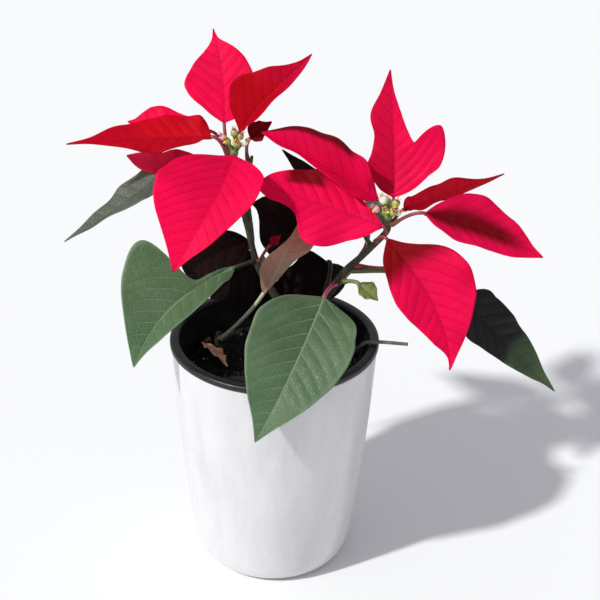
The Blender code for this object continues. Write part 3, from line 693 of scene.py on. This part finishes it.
def bract_velvet(name, left, right, tip, vein="#9C0026", underside=False, core=None, band=None,
                 foot=None):
    """Poinsettia bract: minute cells like velvet, hardly any gloss, faint darker veins.

    Painted shadows may be given: a dark core along the midrib, a dark foot where the blade starts,
    and a dark band along the right edge, as its colour, how far out it starts, and its first and
    last share.
    """
    material, tree, shader = start_material(name)
    side, rib, fine, rowed, edge, across = vein_masks(tree, "bract", 0.55)
    broad = speckle(tree, 45, detail=2.0)
    cells = speckle(tree, 1600, detail=2.0)
    halves = ramped(tree, across, -0.5, 0.5)
    colour = mixed(tree, halves, left, right)
    colour = mixed(tree, ramped(tree, rowed, 0.35, 0.95), colour, tip)
    colour = mixed(tree, ramped(tree, broad, 0.35, 0.65, 0.0, 0.25), colour, vein)
    # Painted shadow, darkest along the midrib and fading towards the edges and the tip.
    if core:
        near = ramped(tree, edge, 0.15, 0.7, 1.0, 0.0)
        near = times(tree, near, ramped(tree, rowed, 0.55, 0.95, 1.0, 0.0))
        colour = mixed(tree, near, colour, core)
    # Painted shadow in a band along the right edge, between two shares of the length.
    if band:
        dark, start, first, last = band
        outer = times(tree, ramped(tree, edge, start, start + 0.2), halves)
        outer = times(tree, outer, ramped(tree, rowed, first, first + 0.1))
        outer = times(tree, outer, ramped(tree, rowed, last, last + 0.1, 1.0, 0.0))
        colour = mixed(tree, outer, colour, dark)
    # Painted shadow where the blade starts.
    if foot:
        colour = mixed(tree, ramped(tree, rowed, 0.12, 0.24, 1.0, 0.0), colour, foot)
    side_share, vein_share = (0.9, 0.7) if underside else (0.55, 0.3)
    veins = maths(tree, "MAXIMUM", times(tree, side, side_share), rib)
    veins = maths(tree, "MAXIMUM", times(tree, veins, vein_share), times(tree, fine, 0.06))
    colour = mixed(tree, veins, colour, vein)
    colour = mixed(tree, ramped(tree, rowed, 0.965, 1.0, 0.0, 0.8), colour, "#6A2030")
    relief = maths(tree, "ADD", times(tree, side, -0.7), times(tree, fine, -0.25))
    relief = bumped(tree, relief, 0.00025)
    feed(tree, shader, {
        "Base Color": colour, "Roughness": ramped(tree, cells, 0.3, 0.7, 0.46, 0.62), "IOR": 1.42,
        "Specular IOR Level": 0.12, "Sheen Weight": 0.05, "Sheen Roughness": 0.4,
        "Sheen Tint": "#FF5A80", "Normal": bumped(tree, cells, 0.00006, under=relief)})
    through_light(tree, shader, "#FF0410", 0.25)
    return material


def leaf_cuticle(name, lit, deep, vein, sap, gloss=0.42, shine=0.5, vein_share=0.75,
                 underside=False, shade=None):
    """Poinsettia leaf: thin waxy cuticle, satin, with pale veins and a fine net.

    A dark colour may be given as painted shadow on the half nearer the petiole.
    """
    material, tree, shader = start_material(name)
    side, rib, fine, rowed, edge, _ = vein_masks(tree, "leaf", 0.6)
    broad = speckle(tree, 40)
    cells = speckle(tree, 1300, detail=2.0)
    colour = mottled(tree, broad, lit, deep)
    colour = mixed(tree, ramped(tree, edge, 0.9, 1.0, 0.0, 0.35), colour, vein)
    veins = maths(tree, "MAXIMUM", times(tree, side, 0.75), rib)
    net = times(tree, fine, 0.18 * vein_share)
    veins = maths(tree, "MAXIMUM", times(tree, veins, vein_share), net)
    colour = mixed(tree, veins, colour, vein)
    # Painted shadow on the half nearer the petiole.
    if shade:
        colour = mixed(tree, ramped(tree, rowed, 0.46, 0.56, 1.0, 0.0), colour, shade)
    relief = maths(tree, "ADD", times(tree, side, -1.0), times(tree, fine, -0.35))
    relief = bumped(tree, relief, -0.0003 if underside else 0.0003)
    feed(tree, shader, {
        "Base Color": colour, "Roughness": ramped(tree, cells, 0.3, 0.7, gloss, gloss + 0.14),
        "IOR": 1.45, "Specular IOR Level": shine,
        "Normal": bumped(tree, cells, 0.00007, under=relief)})
    through_light(tree, shader, sap, 0.18)
    return material


def petiole_skin(name, near_stem, near_blade):
    """Fleshy petiole: smooth skin whose colour shifts along its length."""
    material, tree, shader = start_material(name)
    _, along, _ = on_map(tree, "share")
    flecks = speckle(tree, 900)
    colour = mixed(tree, ramped(tree, along, 0.05, 0.55), near_stem, near_blade)
    colour = mixed(tree, times(tree, flecks, 0.2), colour, "#2A2A18")
    feed(tree, shader, {
        "Base Color": colour, "Roughness": 0.42, "Normal": bumped(tree, flecks, 0.0001)})
    return material


def dry_tissue(name, light, dark):
    """Dead leaf: papery, matt and blotched."""
    material, tree, shader = start_material(name)
    blotch = speckle(tree, 140, detail=5.0)
    grain = speckle(tree, 1500)
    feed(tree, shader, {
        "Base Color": mottled(tree, blotch, light, dark), "Roughness": 0.8,
        "Normal": bumped(tree, grain, 0.0003)})
    return material


def stem_bark():
    """Young woody bark: green under brown cork, with lengthwise cracks and pale lenticels."""
    material, tree, shader = start_material("poinsettia_bark")
    place_on = in_space(tree)
    height = add(tree, "ShaderNodeSeparateXYZ", {0: place_on}).outputs[2]
    cork = speckle(tree, 900, detail=5.0, squeeze=0.25)
    pits = add(tree, "ShaderNodeTexVoronoi", {"Vector": place_on, "Scale": 260.0})
    spots = pits.outputs["Distance"]
    # Both tones are darkened past the bark's own colours as painted shade.
    old = mottled(tree, cork, "#3A3228", "#1E1A12")
    green = mottled(tree, cork, "#434C2A", "#262E18")
    colour = mixed(tree, ramped(tree, height, 0.16, 0.25), old, green)
    colour = mixed(tree, ramped(tree, spots, 0.06, 0.16, 0.6, 0.0), colour, "#6E6850")
    feed(tree, shader, {
        "Base Color": colour, "Roughness": ramped(tree, cork, 0.3, 0.7, 0.55, 0.75),
        "Normal": bumped(tree, cork, 0.0005)})
    return material


def pot_glaze():
    """Glazed earthenware: opaque white glaze, faintly uneven, with a thin clear coat."""
    material, tree, shader = start_material("white_earthenware_glaze")
    cloud = speckle(tree, 55, detail=4.0, squeeze=0.3)
    fine = speckle(tree, 700, detail=2.0)
    skin = bumped(tree, fine, 0.00004, under=bumped(tree, cloud, 0.0007))
    feed(tree, shader, {
        "Base Color": mixed(tree, ramped(tree, cloud, 0.3, 0.75), "#D8D7D9", "#CAC9CC"),
        "Roughness": ramped(tree, fine, 0.3, 0.7, 0.26, 0.36), "IOR": 1.5, "Coat Weight": 0.35,
        "Coat Roughness": 0.12, "Normal": skin})
    return material


def pot_plastic():
    """Injection-moulded polypropylene: black, satin, with fine scuffs and dust."""
    material, tree, shader = start_material("black_polypropylene")
    scuffs = speckle(tree, 420, detail=6.0, distortion=1.5)
    feed(tree, shader, {
        "Base Color": mixed(tree, ramped(tree, scuffs, 0.55, 0.75, 0.0, 0.35), "#0B0B0C", "#4A4642"),
        "Roughness": ramped(tree, scuffs, 0.3, 0.7, 0.32, 0.5),
        "Normal": bumped(tree, scuffs, 0.00006)})
    return material


def peat(name, light, dark):
    """Moist peat and bark fines: rough and dark when wet; where it is nearly black the darkness is
    painted shade.
    """
    material, tree, shader = start_material(name)
    crumbs = speckle(tree, 500, detail=7.0, rough=0.65)
    feed(tree, shader, {
        "Base Color": mixed(tree, ramped(tree, crumbs, 0.35, 0.7), dark, light),
        "Roughness": 0.92, "Normal": bumped(tree, crumbs, 0.0008)})
    return material


def waxy_skin(name, light, dark, rough=0.4):
    """Small fleshy parts of the flowers: smooth, faintly mottled."""
    material, tree, shader = start_material(name)
    mottle = speckle(tree, 700)
    feed(tree, shader, {
        "Base Color": mottled(tree, mottle, light, dark), "Roughness": rough,
        "Subsurface Weight": 0.15, "Subsurface Radius": (0.6, 0.4, 0.2),
        "Subsurface Scale": 0.001, "Normal": bumped(tree, mottle, 0.0001)})
    return material


def bract_skins(tone, left, right=None, tip=None, **painted_shadows):
    """Upper skin, underside and petiole of a bract in one of the photograph's reds."""
    right = right or left
    tip = tip or left
    return (
        # Painted shadows go on the upper skin only.
        bract_velvet("bract_upper_" + tone, left, right, tip, **painted_shadows),
        bract_velvet("bract_under_" + tone, right, left, tip, "#8A0A28", underside=True),
        petiole_skin("bract_petiole_" + tone, "#7A3A34", "#A81838"),
    )


def leaf_skins(tone, upper, under, petiole, under_gloss=0.55, under_shine=0.5, **finish):
    """Upper skin, underside and petiole of a leaf, each with its own colours."""
    return (
        leaf_cuticle("leaf_upper_" + tone, *upper, **finish),
        leaf_cuticle("leaf_under_" + tone, *under, gloss=under_gloss, shine=under_shine,
                     underside=True),
        petiole_skin("leaf_petiole_" + tone, *petiole),
    )


PALE_UNDERSIDE = ("#6E8264", "#62775A", "#98A884", "#7E9A30")
# Darker undersides as painted shade, for leaves in shade.
PAINTED_SHADE_UNDERSIDE = ("#4C5C3E", "#405034", "#66765A", "#4C6418")

SKINS = {
    "bract": bract_skins("crimson", "#F80450"),
    # The darker left half is painted shade.
    "bract turned": bract_skins("turned", "#D20440", "#F20450", "#E00448"),
    # Painted shadow of the small bract above it, dark along the midrib.
    "bract core": bract_skins("core", "#D80448", "#D80448", "#E0044A", core="#50000A"),
    # A painted shadow of the long bract lies in a band along one edge.
    "bract crossed": bract_skins("crossed", "#F00450", band=("#6A0414", 0.4, 0.36, 0.68)),
    # Painted shadow where the blade starts, under the bracts above.
    "bract footed": bract_skins("footed", "#EC044E", foot="#70040E"),
    # Deeper reds as painted shade on a bract lit through from behind.
    "bract scarlet": bract_skins("scarlet", "#B8001A", "#CC001C", "#C80020"),
    # Deeper reds as painted backlight on a bract whose face is in shade.
    "bract backlit": bract_skins("backlit", "#B40012", "#B80018", "#D00840"),
    # Both halves are darkened as painted shade.
    "bract halves": bract_skins("halves", "#98001A", "#860010", "#980018"),
    # Painted shade in a band along the upper margin.
    "bract margin": bract_skins(
        "margin", "#F00450", "#E8044C", "#EC0450", band=("#4C0412", 0.68, 0.2, 0.95)),
    # Dark maroon; on the bract under the left bloom it stands for painted deep shade.
    "bract maroon": bract_skins("maroon", "#8C0420", "#A00828", "#B01038"),
    # Near black red as painted deep shade.
    "bract dusk": bract_skins("dusk", "#5A0410", "#64040E", "#70081A"),
    "leaf": leaf_skins(
        "green", ("#587450", "#496643", "#92A688", "#7E9A30"), PALE_UNDERSIDE,
        ("#A02048", "#A8506A")),
    # The dark petiole is painted shade.
    "leaf strip": leaf_skins(
        "strip", ("#587450", "#4A6A43", "#92A688", "#7E9A30"), PALE_UNDERSIDE,
        ("#24281A", "#3A4630")),
    "leaf greyed": leaf_skins(
        "greyed", ("#5A6052", "#4C5446", "#80887A", "#6E7C40"),
        ("#6C7464", "#606A58", "#8C967E", "#6E7C40"), ("#5A6A38", "#8A6A5A"), vein_share=0.3),
    # A darker copy of the green leaf, as painted shade, for a leaf at the back.
    "leaf deep": leaf_skins(
        "deep", ("#2C3E20", "#22341A", "#4A5C3C", "#4C6418"), PAINTED_SHADE_UNDERSIDE,
        ("#5A6A38", "#8A3048"), vein_share=0.3),
    "leaf shaded": leaf_skins(
        "shaded", ("#48623A", "#3A5230", "#62785A", "#4C6418"), PAINTED_SHADE_UNDERSIDE,
        ("#5A6A38", "#8A3048"), vein_share=0.4, shade="#060805"),
    # Near black upper side as painted deep shade, for leaves deep inside the plant.
    "leaf night": leaf_skins(
        "night", ("#1A0607", "#0C0404", "#1E0C0C", "#1A0404"),
        ("#37452D", "#2C3824", "#56664A", "#30400C"), ("#1E1C12", "#240E14"),
        under_gloss=0.6, under_shine=0.3, gloss=0.6, shine=0.1, vein_share=0.2),
    # The pale petiole is painted sunlight.
    "leaf olive": leaf_skins(
        "olive", ("#A89478", "#B4806E", "#BCB490", "#A88860"),
        ("#A8A080", "#A48A70", "#BCB490", "#A88860"), ("#C4CEB0", "#C0C8A4"), vein_share=0.6),
    "leaf young": leaf_skins(
        "young", ("#7C8A4A", "#6A7A40", "#A8B080", "#B0C040"),
        ("#94A468", "#869858", "#B0B888", "#B0C040"), ("#6A7A40", "#8A9458"), vein_share=0.5),
    "dried": (
        # The upper side's colours are brightened past a dead leaf's own tan as painted sunlight.
        dry_tissue("dead_leaf_upper", "#F0BE9C", "#C08C70"),
        dry_tissue("dead_leaf_under", "#C89474", "#96684E"),
        dry_tissue("dead_petiole", "#8A6248", "#5A3A2A"),
    ),
}


# Pots

def turned(name, outline, material):
    """A pot from its outline in millimetres."""
    bm = bmesh.new()
    spun(bm, [(r * MM, z * MM) for r, z in outline], POT_STEPS, 1e-6)
    return object_from(bm, name, [material])


def smooth_outline(points, rounds=3):
    """Cuts the corners of an outline until it reads as one curve; its ends stay."""
    points = [Vector(p) for p in points]
    for _ in range(rounds):
        cut = [points[0]]
        for a, b in zip(points, points[1:]):
            cut += [a.lerp(b, 0.25), a.lerp(b, 0.75)]
        points = cut + [points[-1]]
    return [tuple(p) for p in points]


def make_cachepot():
    """White cachepot with a rounded lip, and a foot that rolls in to a flat base."""
    outer = [(60.0, CACHEPOT_HEIGHT), (61.2, 146.9), (61.6, 146.0)] + list(CACHEPOT_OUTLINE)
    inner = [(r - CACHEPOT_WALL, z) for r, z in CACHEPOT_OUTLINE[1:-2]]
    inner[0] = (57.2, 140.0)
    inner = [(0.0, 5.0), (38.0, 5.0)] + inner[::-1] + [(58.1, 146.2), (58.8, CACHEPOT_HEIGHT)]
    outline = smooth_outline(inner, 1) + smooth_outline(outer) + [(0.0, 0.0)]
    obj = turned("cachepot_glazed", outline, pot_glaze())
    place(obj, ["cachepot"])


def make_nursery_pot():
    """Thin black pot with a rolled lip, hung in the cachepot."""
    lip = [
        (56.3, 147.6), (56.5, 149.8), (57.4, 151.0), (59.5, 151.3), (61.6, 151.0), (62.5, 150.0),
        (62.5, 147.6), (61.9, 147.3), (56.9, 147.3),
    ]
    inner = [(0.0, 31.2), (40.8, 31.2), (53.8, 138.0)]
    wall = [(55.0, 138.0), (42.0, 30.0), (0.0, 30.0)]
    outline = inner + smooth_outline(lip, 2) + wall
    obj = turned("nursery_pot_moulded", outline, pot_plastic())
    place(obj, ["nursery_pot"])


# Soil

def soil_height(x, y):
    """Height of the soil's crust in millimetres, lumpy and low against the wall."""
    r = math.hypot(x, y)
    lump = noise.noise((x / 14, y / 14, 1.0)) * 1.1 + noise.noise((x / 4, y / 4, 5.0)) * 0.7
    slope_start = 44
    wall = 1.5 * max(0.0, (r - slope_start) / (SOIL_RADIUS - slope_start)) ** 2
    return SOIL_TOP + 0.6 + lump - wall


def make_soil():
    """Lumpy crust on a tapered plug of soil."""
    bm = bmesh.new()
    rings = bmesh.ops.create_circle(bm, cap_ends=True, segments=96, radius=SOIL_RADIUS * MM)
    face = rings["verts"][0].link_faces[0]
    edge = list(face.edges)
    insets = 38
    step = SOIL_RADIUS * MM / (insets + 1.5)
    for _ in range(insets):
        bmesh.ops.inset_region(bm, faces=[face], thickness=step, use_even_offset=True)
    for vert in bm.verts:
        x, y = vert.co.x / MM, vert.co.y / MM
        vert.co.z = soil_height(x, y) * MM
    low, bottom, _ = extruded(bm, edge)
    for vert in low:
        vert.co.z = SOIL_FOOT * MM
        vert.co.x *= SOIL_FOOT_RADIUS / SOIL_RADIUS
        vert.co.y *= SOIL_FOOT_RADIUS / SOIL_RADIUS
    bmesh.ops.edgeloop_fill(bm, edges=bottom)
    bmesh.ops.recalc_face_normals(bm, faces=bm.faces[:])
    # The soil's nearly black colours are painted shade over moist peat's own dark brown.
    obj = object_from(bm, "soil_plug", [peat("moist_peat", "#181410", "#080706")])
    place(obj, ["soil"])


def scatter(name, count, smallest, largest, seed, material, chips=False):
    """Loose bits sunk a little into the soil's crust, joined as one piece."""
    rng = random.Random(seed)
    bm = bmesh.new()
    for _ in range(count):
        r = SOIL_RADIUS * math.sqrt(rng.random()) * 0.97
        a = rng.uniform(0, 2 * math.pi)
        x, y = r * math.cos(a), r * math.sin(a)
        size = rng.uniform(smallest, largest)
        turn = Quaternion([rng.gauss(0, 1) for _ in range(4)]).normalized()
        sides = (size, size * rng.uniform(0.5, 0.9), size * rng.uniform(0.35, 0.8))
        squash = Matrix.Diagonal((*sides, 1))
        put = Matrix.Translation(Vector((x, y, soil_height(x, y) + size * 0.2)) * MM)
        matrix = put @ turn.to_matrix().to_4x4() @ Matrix.Scale(MM, 4) @ squash
        if chips:
            bmesh.ops.create_cube(bm, size=1.4, matrix=matrix)
        else:
            bmesh.ops.create_icosphere(bm, subdivisions=1, radius=1.0, matrix=matrix)
    obj = object_from(bm, name, [material])
    place(obj, [])


# Stems

def smooth_path(points, steps=5):
    """Points on a curve through the given ones, as ((x, y, z), radius)."""
    rows = np.array(points, float)
    padded = np.vstack([2 * rows[0] - rows[1], rows, 2 * rows[-1] - rows[-2]])
    curve = []
    for k in range(1, len(padded) - 2):
        a, b, c, d = padded[k - 1:k + 3]
        for u in np.linspace(0, 1, steps, endpoint=False):
            curve.append(0.5 * (
                2 * b + (c - a) * u + (2 * a - 5 * b + 4 * c - d) * u ** 2
                + (3 * b - a - 3 * c + d) * u ** 3))
    return [(tuple(p[:3]), float(p[3])) for p in curve + [rows[-1]]]


def add_swelling(bm, point, radius):
    """A ball on a stem, in millimetres."""
    matrix = Matrix.Translation(Vector(point) * MM) @ Matrix.Scale(MM, 4)
    bmesh.ops.create_icosphere(bm, subdivisions=2, radius=radius, matrix=matrix)


def make_stem():
    """Branches grown together by a remesh, swollen where a petiole leaves or has left."""
    bark = stem_bark()
    bm = bmesh.new()
    for name in BRANCHES:
        add_tube(bm, smooth_path(STEMS[name]), sides=16)
    for blade in BLADES:
        if blade.stem in BRANCHES:
            centre, radius, _ = stem_axis(blade.stem, blade.height)
            outward = unit(stalk_point(blade) - centre)
            add_swelling(bm, centre + outward * radius * 0.75, blade.petiole * 1.25)
    for name, heights in SCARS.items():
        for turn, height in enumerate(heights):
            centre, radius, _ = stem_axis(name, height)
            angle = 2.4 * turn + len(name)
            outward = np.array([math.cos(angle), math.sin(angle), 0.0])
            add_swelling(bm, centre + outward * radius * 0.85, SCAR_RADIUS)
    obj = object_from(bm, "stem_bark", [bark])
    remesh = obj.modifiers.new("grown_together", "REMESH")
    remesh.mode = "VOXEL"
    remesh.voxel_size = 0.45 * MM
    remesh.use_smooth_shade = True
    soften = obj.modifiers.new("soften", "SMOOTH")
    soften.iterations = 6
    apply_modifiers(obj)
    place(obj, ["stem"])
    bm = bmesh.new()
    add_tube(bm, smooth_path(STEMS["shoot"]), sides=16)
    shoot = object_from(bm, "shoot_bark", [bark])
    place(shoot, ["shoot"])


def make_fallen_petiole():
    """A dry stalk that leans over the rim."""
    bm = bmesh.new()
    add_tube(bm, smooth_path(FALLEN_PETIOLE), sides=12)
    grey = dry_tissue("dry_petiole_grey", "#77756C", "#4E4D48")
    obj = object_from(bm, "fallen_petiole_dry", [grey])
    place(obj, ["fallen_petiole"])


# Cyathia

CUP_MATERIALS = {
    "green": waxy_skin("cup_green", "#B4C078", "#8EA454"),
    "stalk": waxy_skin("cup_stalk_green", "#7E9046", "#667A38"),
    "white": waxy_skin("cup_cream", "#F2EEDC", "#DCD6B8"),
    "pink": waxy_skin("cup_pink", "#F0B8BC", "#E09AA4"),
    "salmon": waxy_skin("cup_salmon", "#F2A07C", "#E87A64"),
    "amber": waxy_skin("cup_amber", "#F0B040", "#E88A30"),
    "gland": waxy_skin("nectar_gland_yellow", "#F4D848", "#E8B830", rough=0.25),
    "anther": waxy_skin("anther_yellow", "#F6E070", "#E8C040"),
    "tooth": waxy_skin("cup_tooth_red", "#D83050", "#B01838"),
}
CUP_INDEX = {name: k for k, name in enumerate(CUP_MATERIALS)}

# Half outline of a cup, as radius and height for a cup of radius 1
CUP_OUTLINE = (
    (0.0, 0.0), (0.45, 0.05), (0.78, 0.35), (0.97, 0.8), (1.0, 1.25), (0.88, 1.7),
    (0.66, 2.02), (0.56, 2.08), (0.5, 2.0), (0.42, 1.75), (0.0, 1.6),
)
CUP_STEPS = 20
CUP_TEETH = 9
CUP_STAMENS = 5


def paint(verts, material):
    """Gives the faces round some new corners their material."""
    for face in {f for v in verts for f in v.link_faces}:
        face.material_index = material


def add_cup(bm, matrix, material):
    """Spins a cup round its own upright axis, then puts it where the matrix says."""
    faces = spun(bm, CUP_OUTLINE, CUP_STEPS, 1e-5)
    for face in faces:
        face.material_index = material
    bmesh.ops.transform(bm, matrix=matrix, verts=list({v for f in faces for v in f.verts}))


def add_knob(bm, point, radius, material, stretch, turn=None, detail=2):
    """A stretched ball of a radius in millimetres at a point in metres."""
    matrix = Matrix.Translation(point) @ (turn or Quaternion()).to_matrix().to_4x4()
    matrix = matrix @ Matrix.Diagonal((*stretch, 1))
    made = bmesh.ops.create_icosphere(bm, subdivisions=detail, radius=radius * MM, matrix=matrix)
    paint(made["verts"], material)


def add_stamen(bm, matrix, angle, reach, anther):
    """A thread from inside the cup's mouth with its anther on top."""
    way = (math.cos(angle), math.sin(angle))
    foot = matrix @ Vector((0.2 * way[0], 0.2 * way[1], 1.6))
    head = matrix @ Vector((0.5 * way[0], 0.5 * way[1], reach))
    path = [(foot, 0.16), (foot.lerp(head, 0.5), 0.14), (head, 0.12)]
    add_tube(bm, [(tuple(p / MM), r) for p, r in path], sides=6, material=CUP_INDEX["tooth"])
    add_knob(bm, head, 0.34, CUP_INDEX[anther], (1.3, 0.8, 0.8), detail=1)


def make_cyathia(bloom, seed):
    """Cups with toothed mouths, each with a nectar gland and a few stamens, on short stalks."""
    rng = random.Random(seed)
    x, y, z, radius = STEMS[bloom][-1]
    top = np.array([x, y, z], float)
    bm = bmesh.new()
    for dx, dy, dz, r, colour in CUPS[bloom]:
        way = np.array([dx, dy, dz], float)
        bend = top + way * (0.35, 0.35, 0.6)
        s = np.linspace(0, 1, 9)
        points, leads = arc(top - (0, 0, 1.5), bend, top + way * 0.78, s)
        stalk = [(tuple(p), 1.3 - 0.55 * math.sin(math.pi * u / 1.6)) for p, u in zip(points, s)]
        add_tube(bm, stalk, sides=10, material=CUP_INDEX["stalk"])
        lead = Vector(leads[-1]).lerp(Vector((0, 0, 1)), 0.35).normalized()
        turn = Vector((0, 0, 1)).rotation_difference(lead)
        base = Vector(top + way * 0.74) * MM
        matrix = Matrix.Translation(base) @ turn.to_matrix().to_4x4() @ Matrix.Scale(r * MM, 4)
        add_cup(bm, matrix, CUP_INDEX[colour if colour in ("white", "pink") else "green"])
        for k in range(CUP_TEETH):
            angle = 2 * math.pi * k / CUP_TEETH + rng.uniform(-0.1, 0.1)
            lean = Matrix.Rotation(angle, 4, "Z") @ Matrix.Translation((0.55, 0, 2.15))
            lean = lean @ Matrix.Rotation(-0.35, 4, "Y")
            made = bmesh.ops.create_cone(
                bm, cap_ends=True, segments=5, radius1=0.17, radius2=0.02, depth=0.45,
                matrix=matrix @ lean)
            paint(made["verts"], CUP_INDEX["white" if colour == "white" else "tooth"])
        side = rng.uniform(0, 2 * math.pi)
        gland = matrix @ Vector((0.95 * math.cos(side), 0.95 * math.sin(side), 1.55))
        gland_colour = colour if colour in ("salmon", "amber") else "gland"
        add_knob(bm, gland, r * 0.42, CUP_INDEX[gland_colour], (1.25, 0.8, 0.75),
                 turn @ Quaternion((0, 0, 1), side))
        anther = colour if colour in ("salmon", "amber", "pink") else "anther"
        for k in range(CUP_STAMENS):
            add_stamen(bm, matrix, side + 1.1 * k, 2.6 + rng.uniform(0, 0.5), anther)
    seat = [((x, y, z - 1), radius), ((x, y, z + 2), radius + 0.6), ((x, y, z + 4), radius - 0.4)]
    add_tube(bm, seat, sides=14, material=CUP_INDEX["stalk"])
    obj = object_from(bm, bloom + "_cyathia_cups", CUP_MATERIALS.values())
    place(obj, [bloom + "_cyathia"])


# The stage

def make_stage():
    """Pale floor, soft fill from all round, and sun from the upper left at the front."""
    bm = bmesh.new()
    bmesh.ops.create_grid(bm, x_segments=2, y_segments=2, size=6.0)
    material, tree, shader = start_material("matt_white_board")
    feed(tree, shader, {"Base Color": "#EDEFEE", "Roughness": 0.7})
    floor = object_from(bm, "floor", [material])

    world = bpy.data.worlds.new("studio")
    bpy.context.scene.world = world
    world.use_nodes = True
    sky = world.node_tree.nodes["Background"]
    feed(world.node_tree, sky, {"Color": "#F2F1FC", "Strength": 0.54})

    light = bpy.data.lights.new("sun", "SUN")
    light.energy = 3.05
    light.color = (1.0, 1.0, 0.975)
    light.angle = math.radians(3)
    sun = bpy.data.objects.new("sun", light)
    sun.location = (-0.8, -0.56, 0.9)
    to_sun = Vector((-0.60, -0.42, 0.68))
    sun.rotation_euler = to_sun.to_track_quat("Z", "Y").to_euler()
    bpy.context.scene.collection.objects.link(sun)


def make_camera():
    """The photograph's view: 28.2 degrees down from 0.85 m, rolled by one degree."""
    elevation, roll, distance = math.radians(28.2), math.radians(1.0), 0.85
    target = Vector((0.0148, 0.0, 0.175))
    back = Vector((0, -math.cos(elevation), math.sin(elevation)))
    level = Vector((1, 0, 0))
    above = back.cross(level)
    right = math.cos(roll) * level + math.sin(roll) * above
    up = -math.sin(roll) * level + math.cos(roll) * above
    photo_width, focal_length = 600.0, 1442.0  # pixels
    data = bpy.data.cameras.new("camera")
    data.sensor_width = 36.0
    data.lens = focal_length / photo_width * data.sensor_width
    data.clip_start = 0.01
    obj = bpy.data.objects.new("camera", data)
    axes = Matrix((right, up, back)).transposed().to_4x4()
    obj.matrix_world = Matrix.Translation(target + back * distance) @ axes
    bpy.context.scene.collection.objects.link(obj)
    bpy.context.scene.camera = obj


make_cachepot()
make_nursery_pot()
make_soil()
# The crumbs' nearly black colours are painted shade, as on the soil.
scatter("soil_crumbs", 1300, 0.5, 1.7, 3, peat("peat_crumb", "#201A14", "#0C0A08"))
scatter("bark_chips", 60, 0.9, 2.2, 5, peat("pine_bark", "#3A2A20", "#1A1410"), chips=True)
scatter("perlite_grains", 34, 0.5, 1.1, 8,
        waxy_skin("perlite_white", "#E8E6E0", "#C8C6BE", rough=0.9))
make_stem()
make_fallen_petiole()
make_cyathia("left", 21)
make_cyathia("right", 34)
for blade in BLADES:
    grow_blade(blade, SKINS[f"{blade.kind} {blade.skin}".strip()])
make_stage()
make_camera()
bpy.context.scene.view_settings.view_transform = "Standard"

bpy.context.view_layer.update()
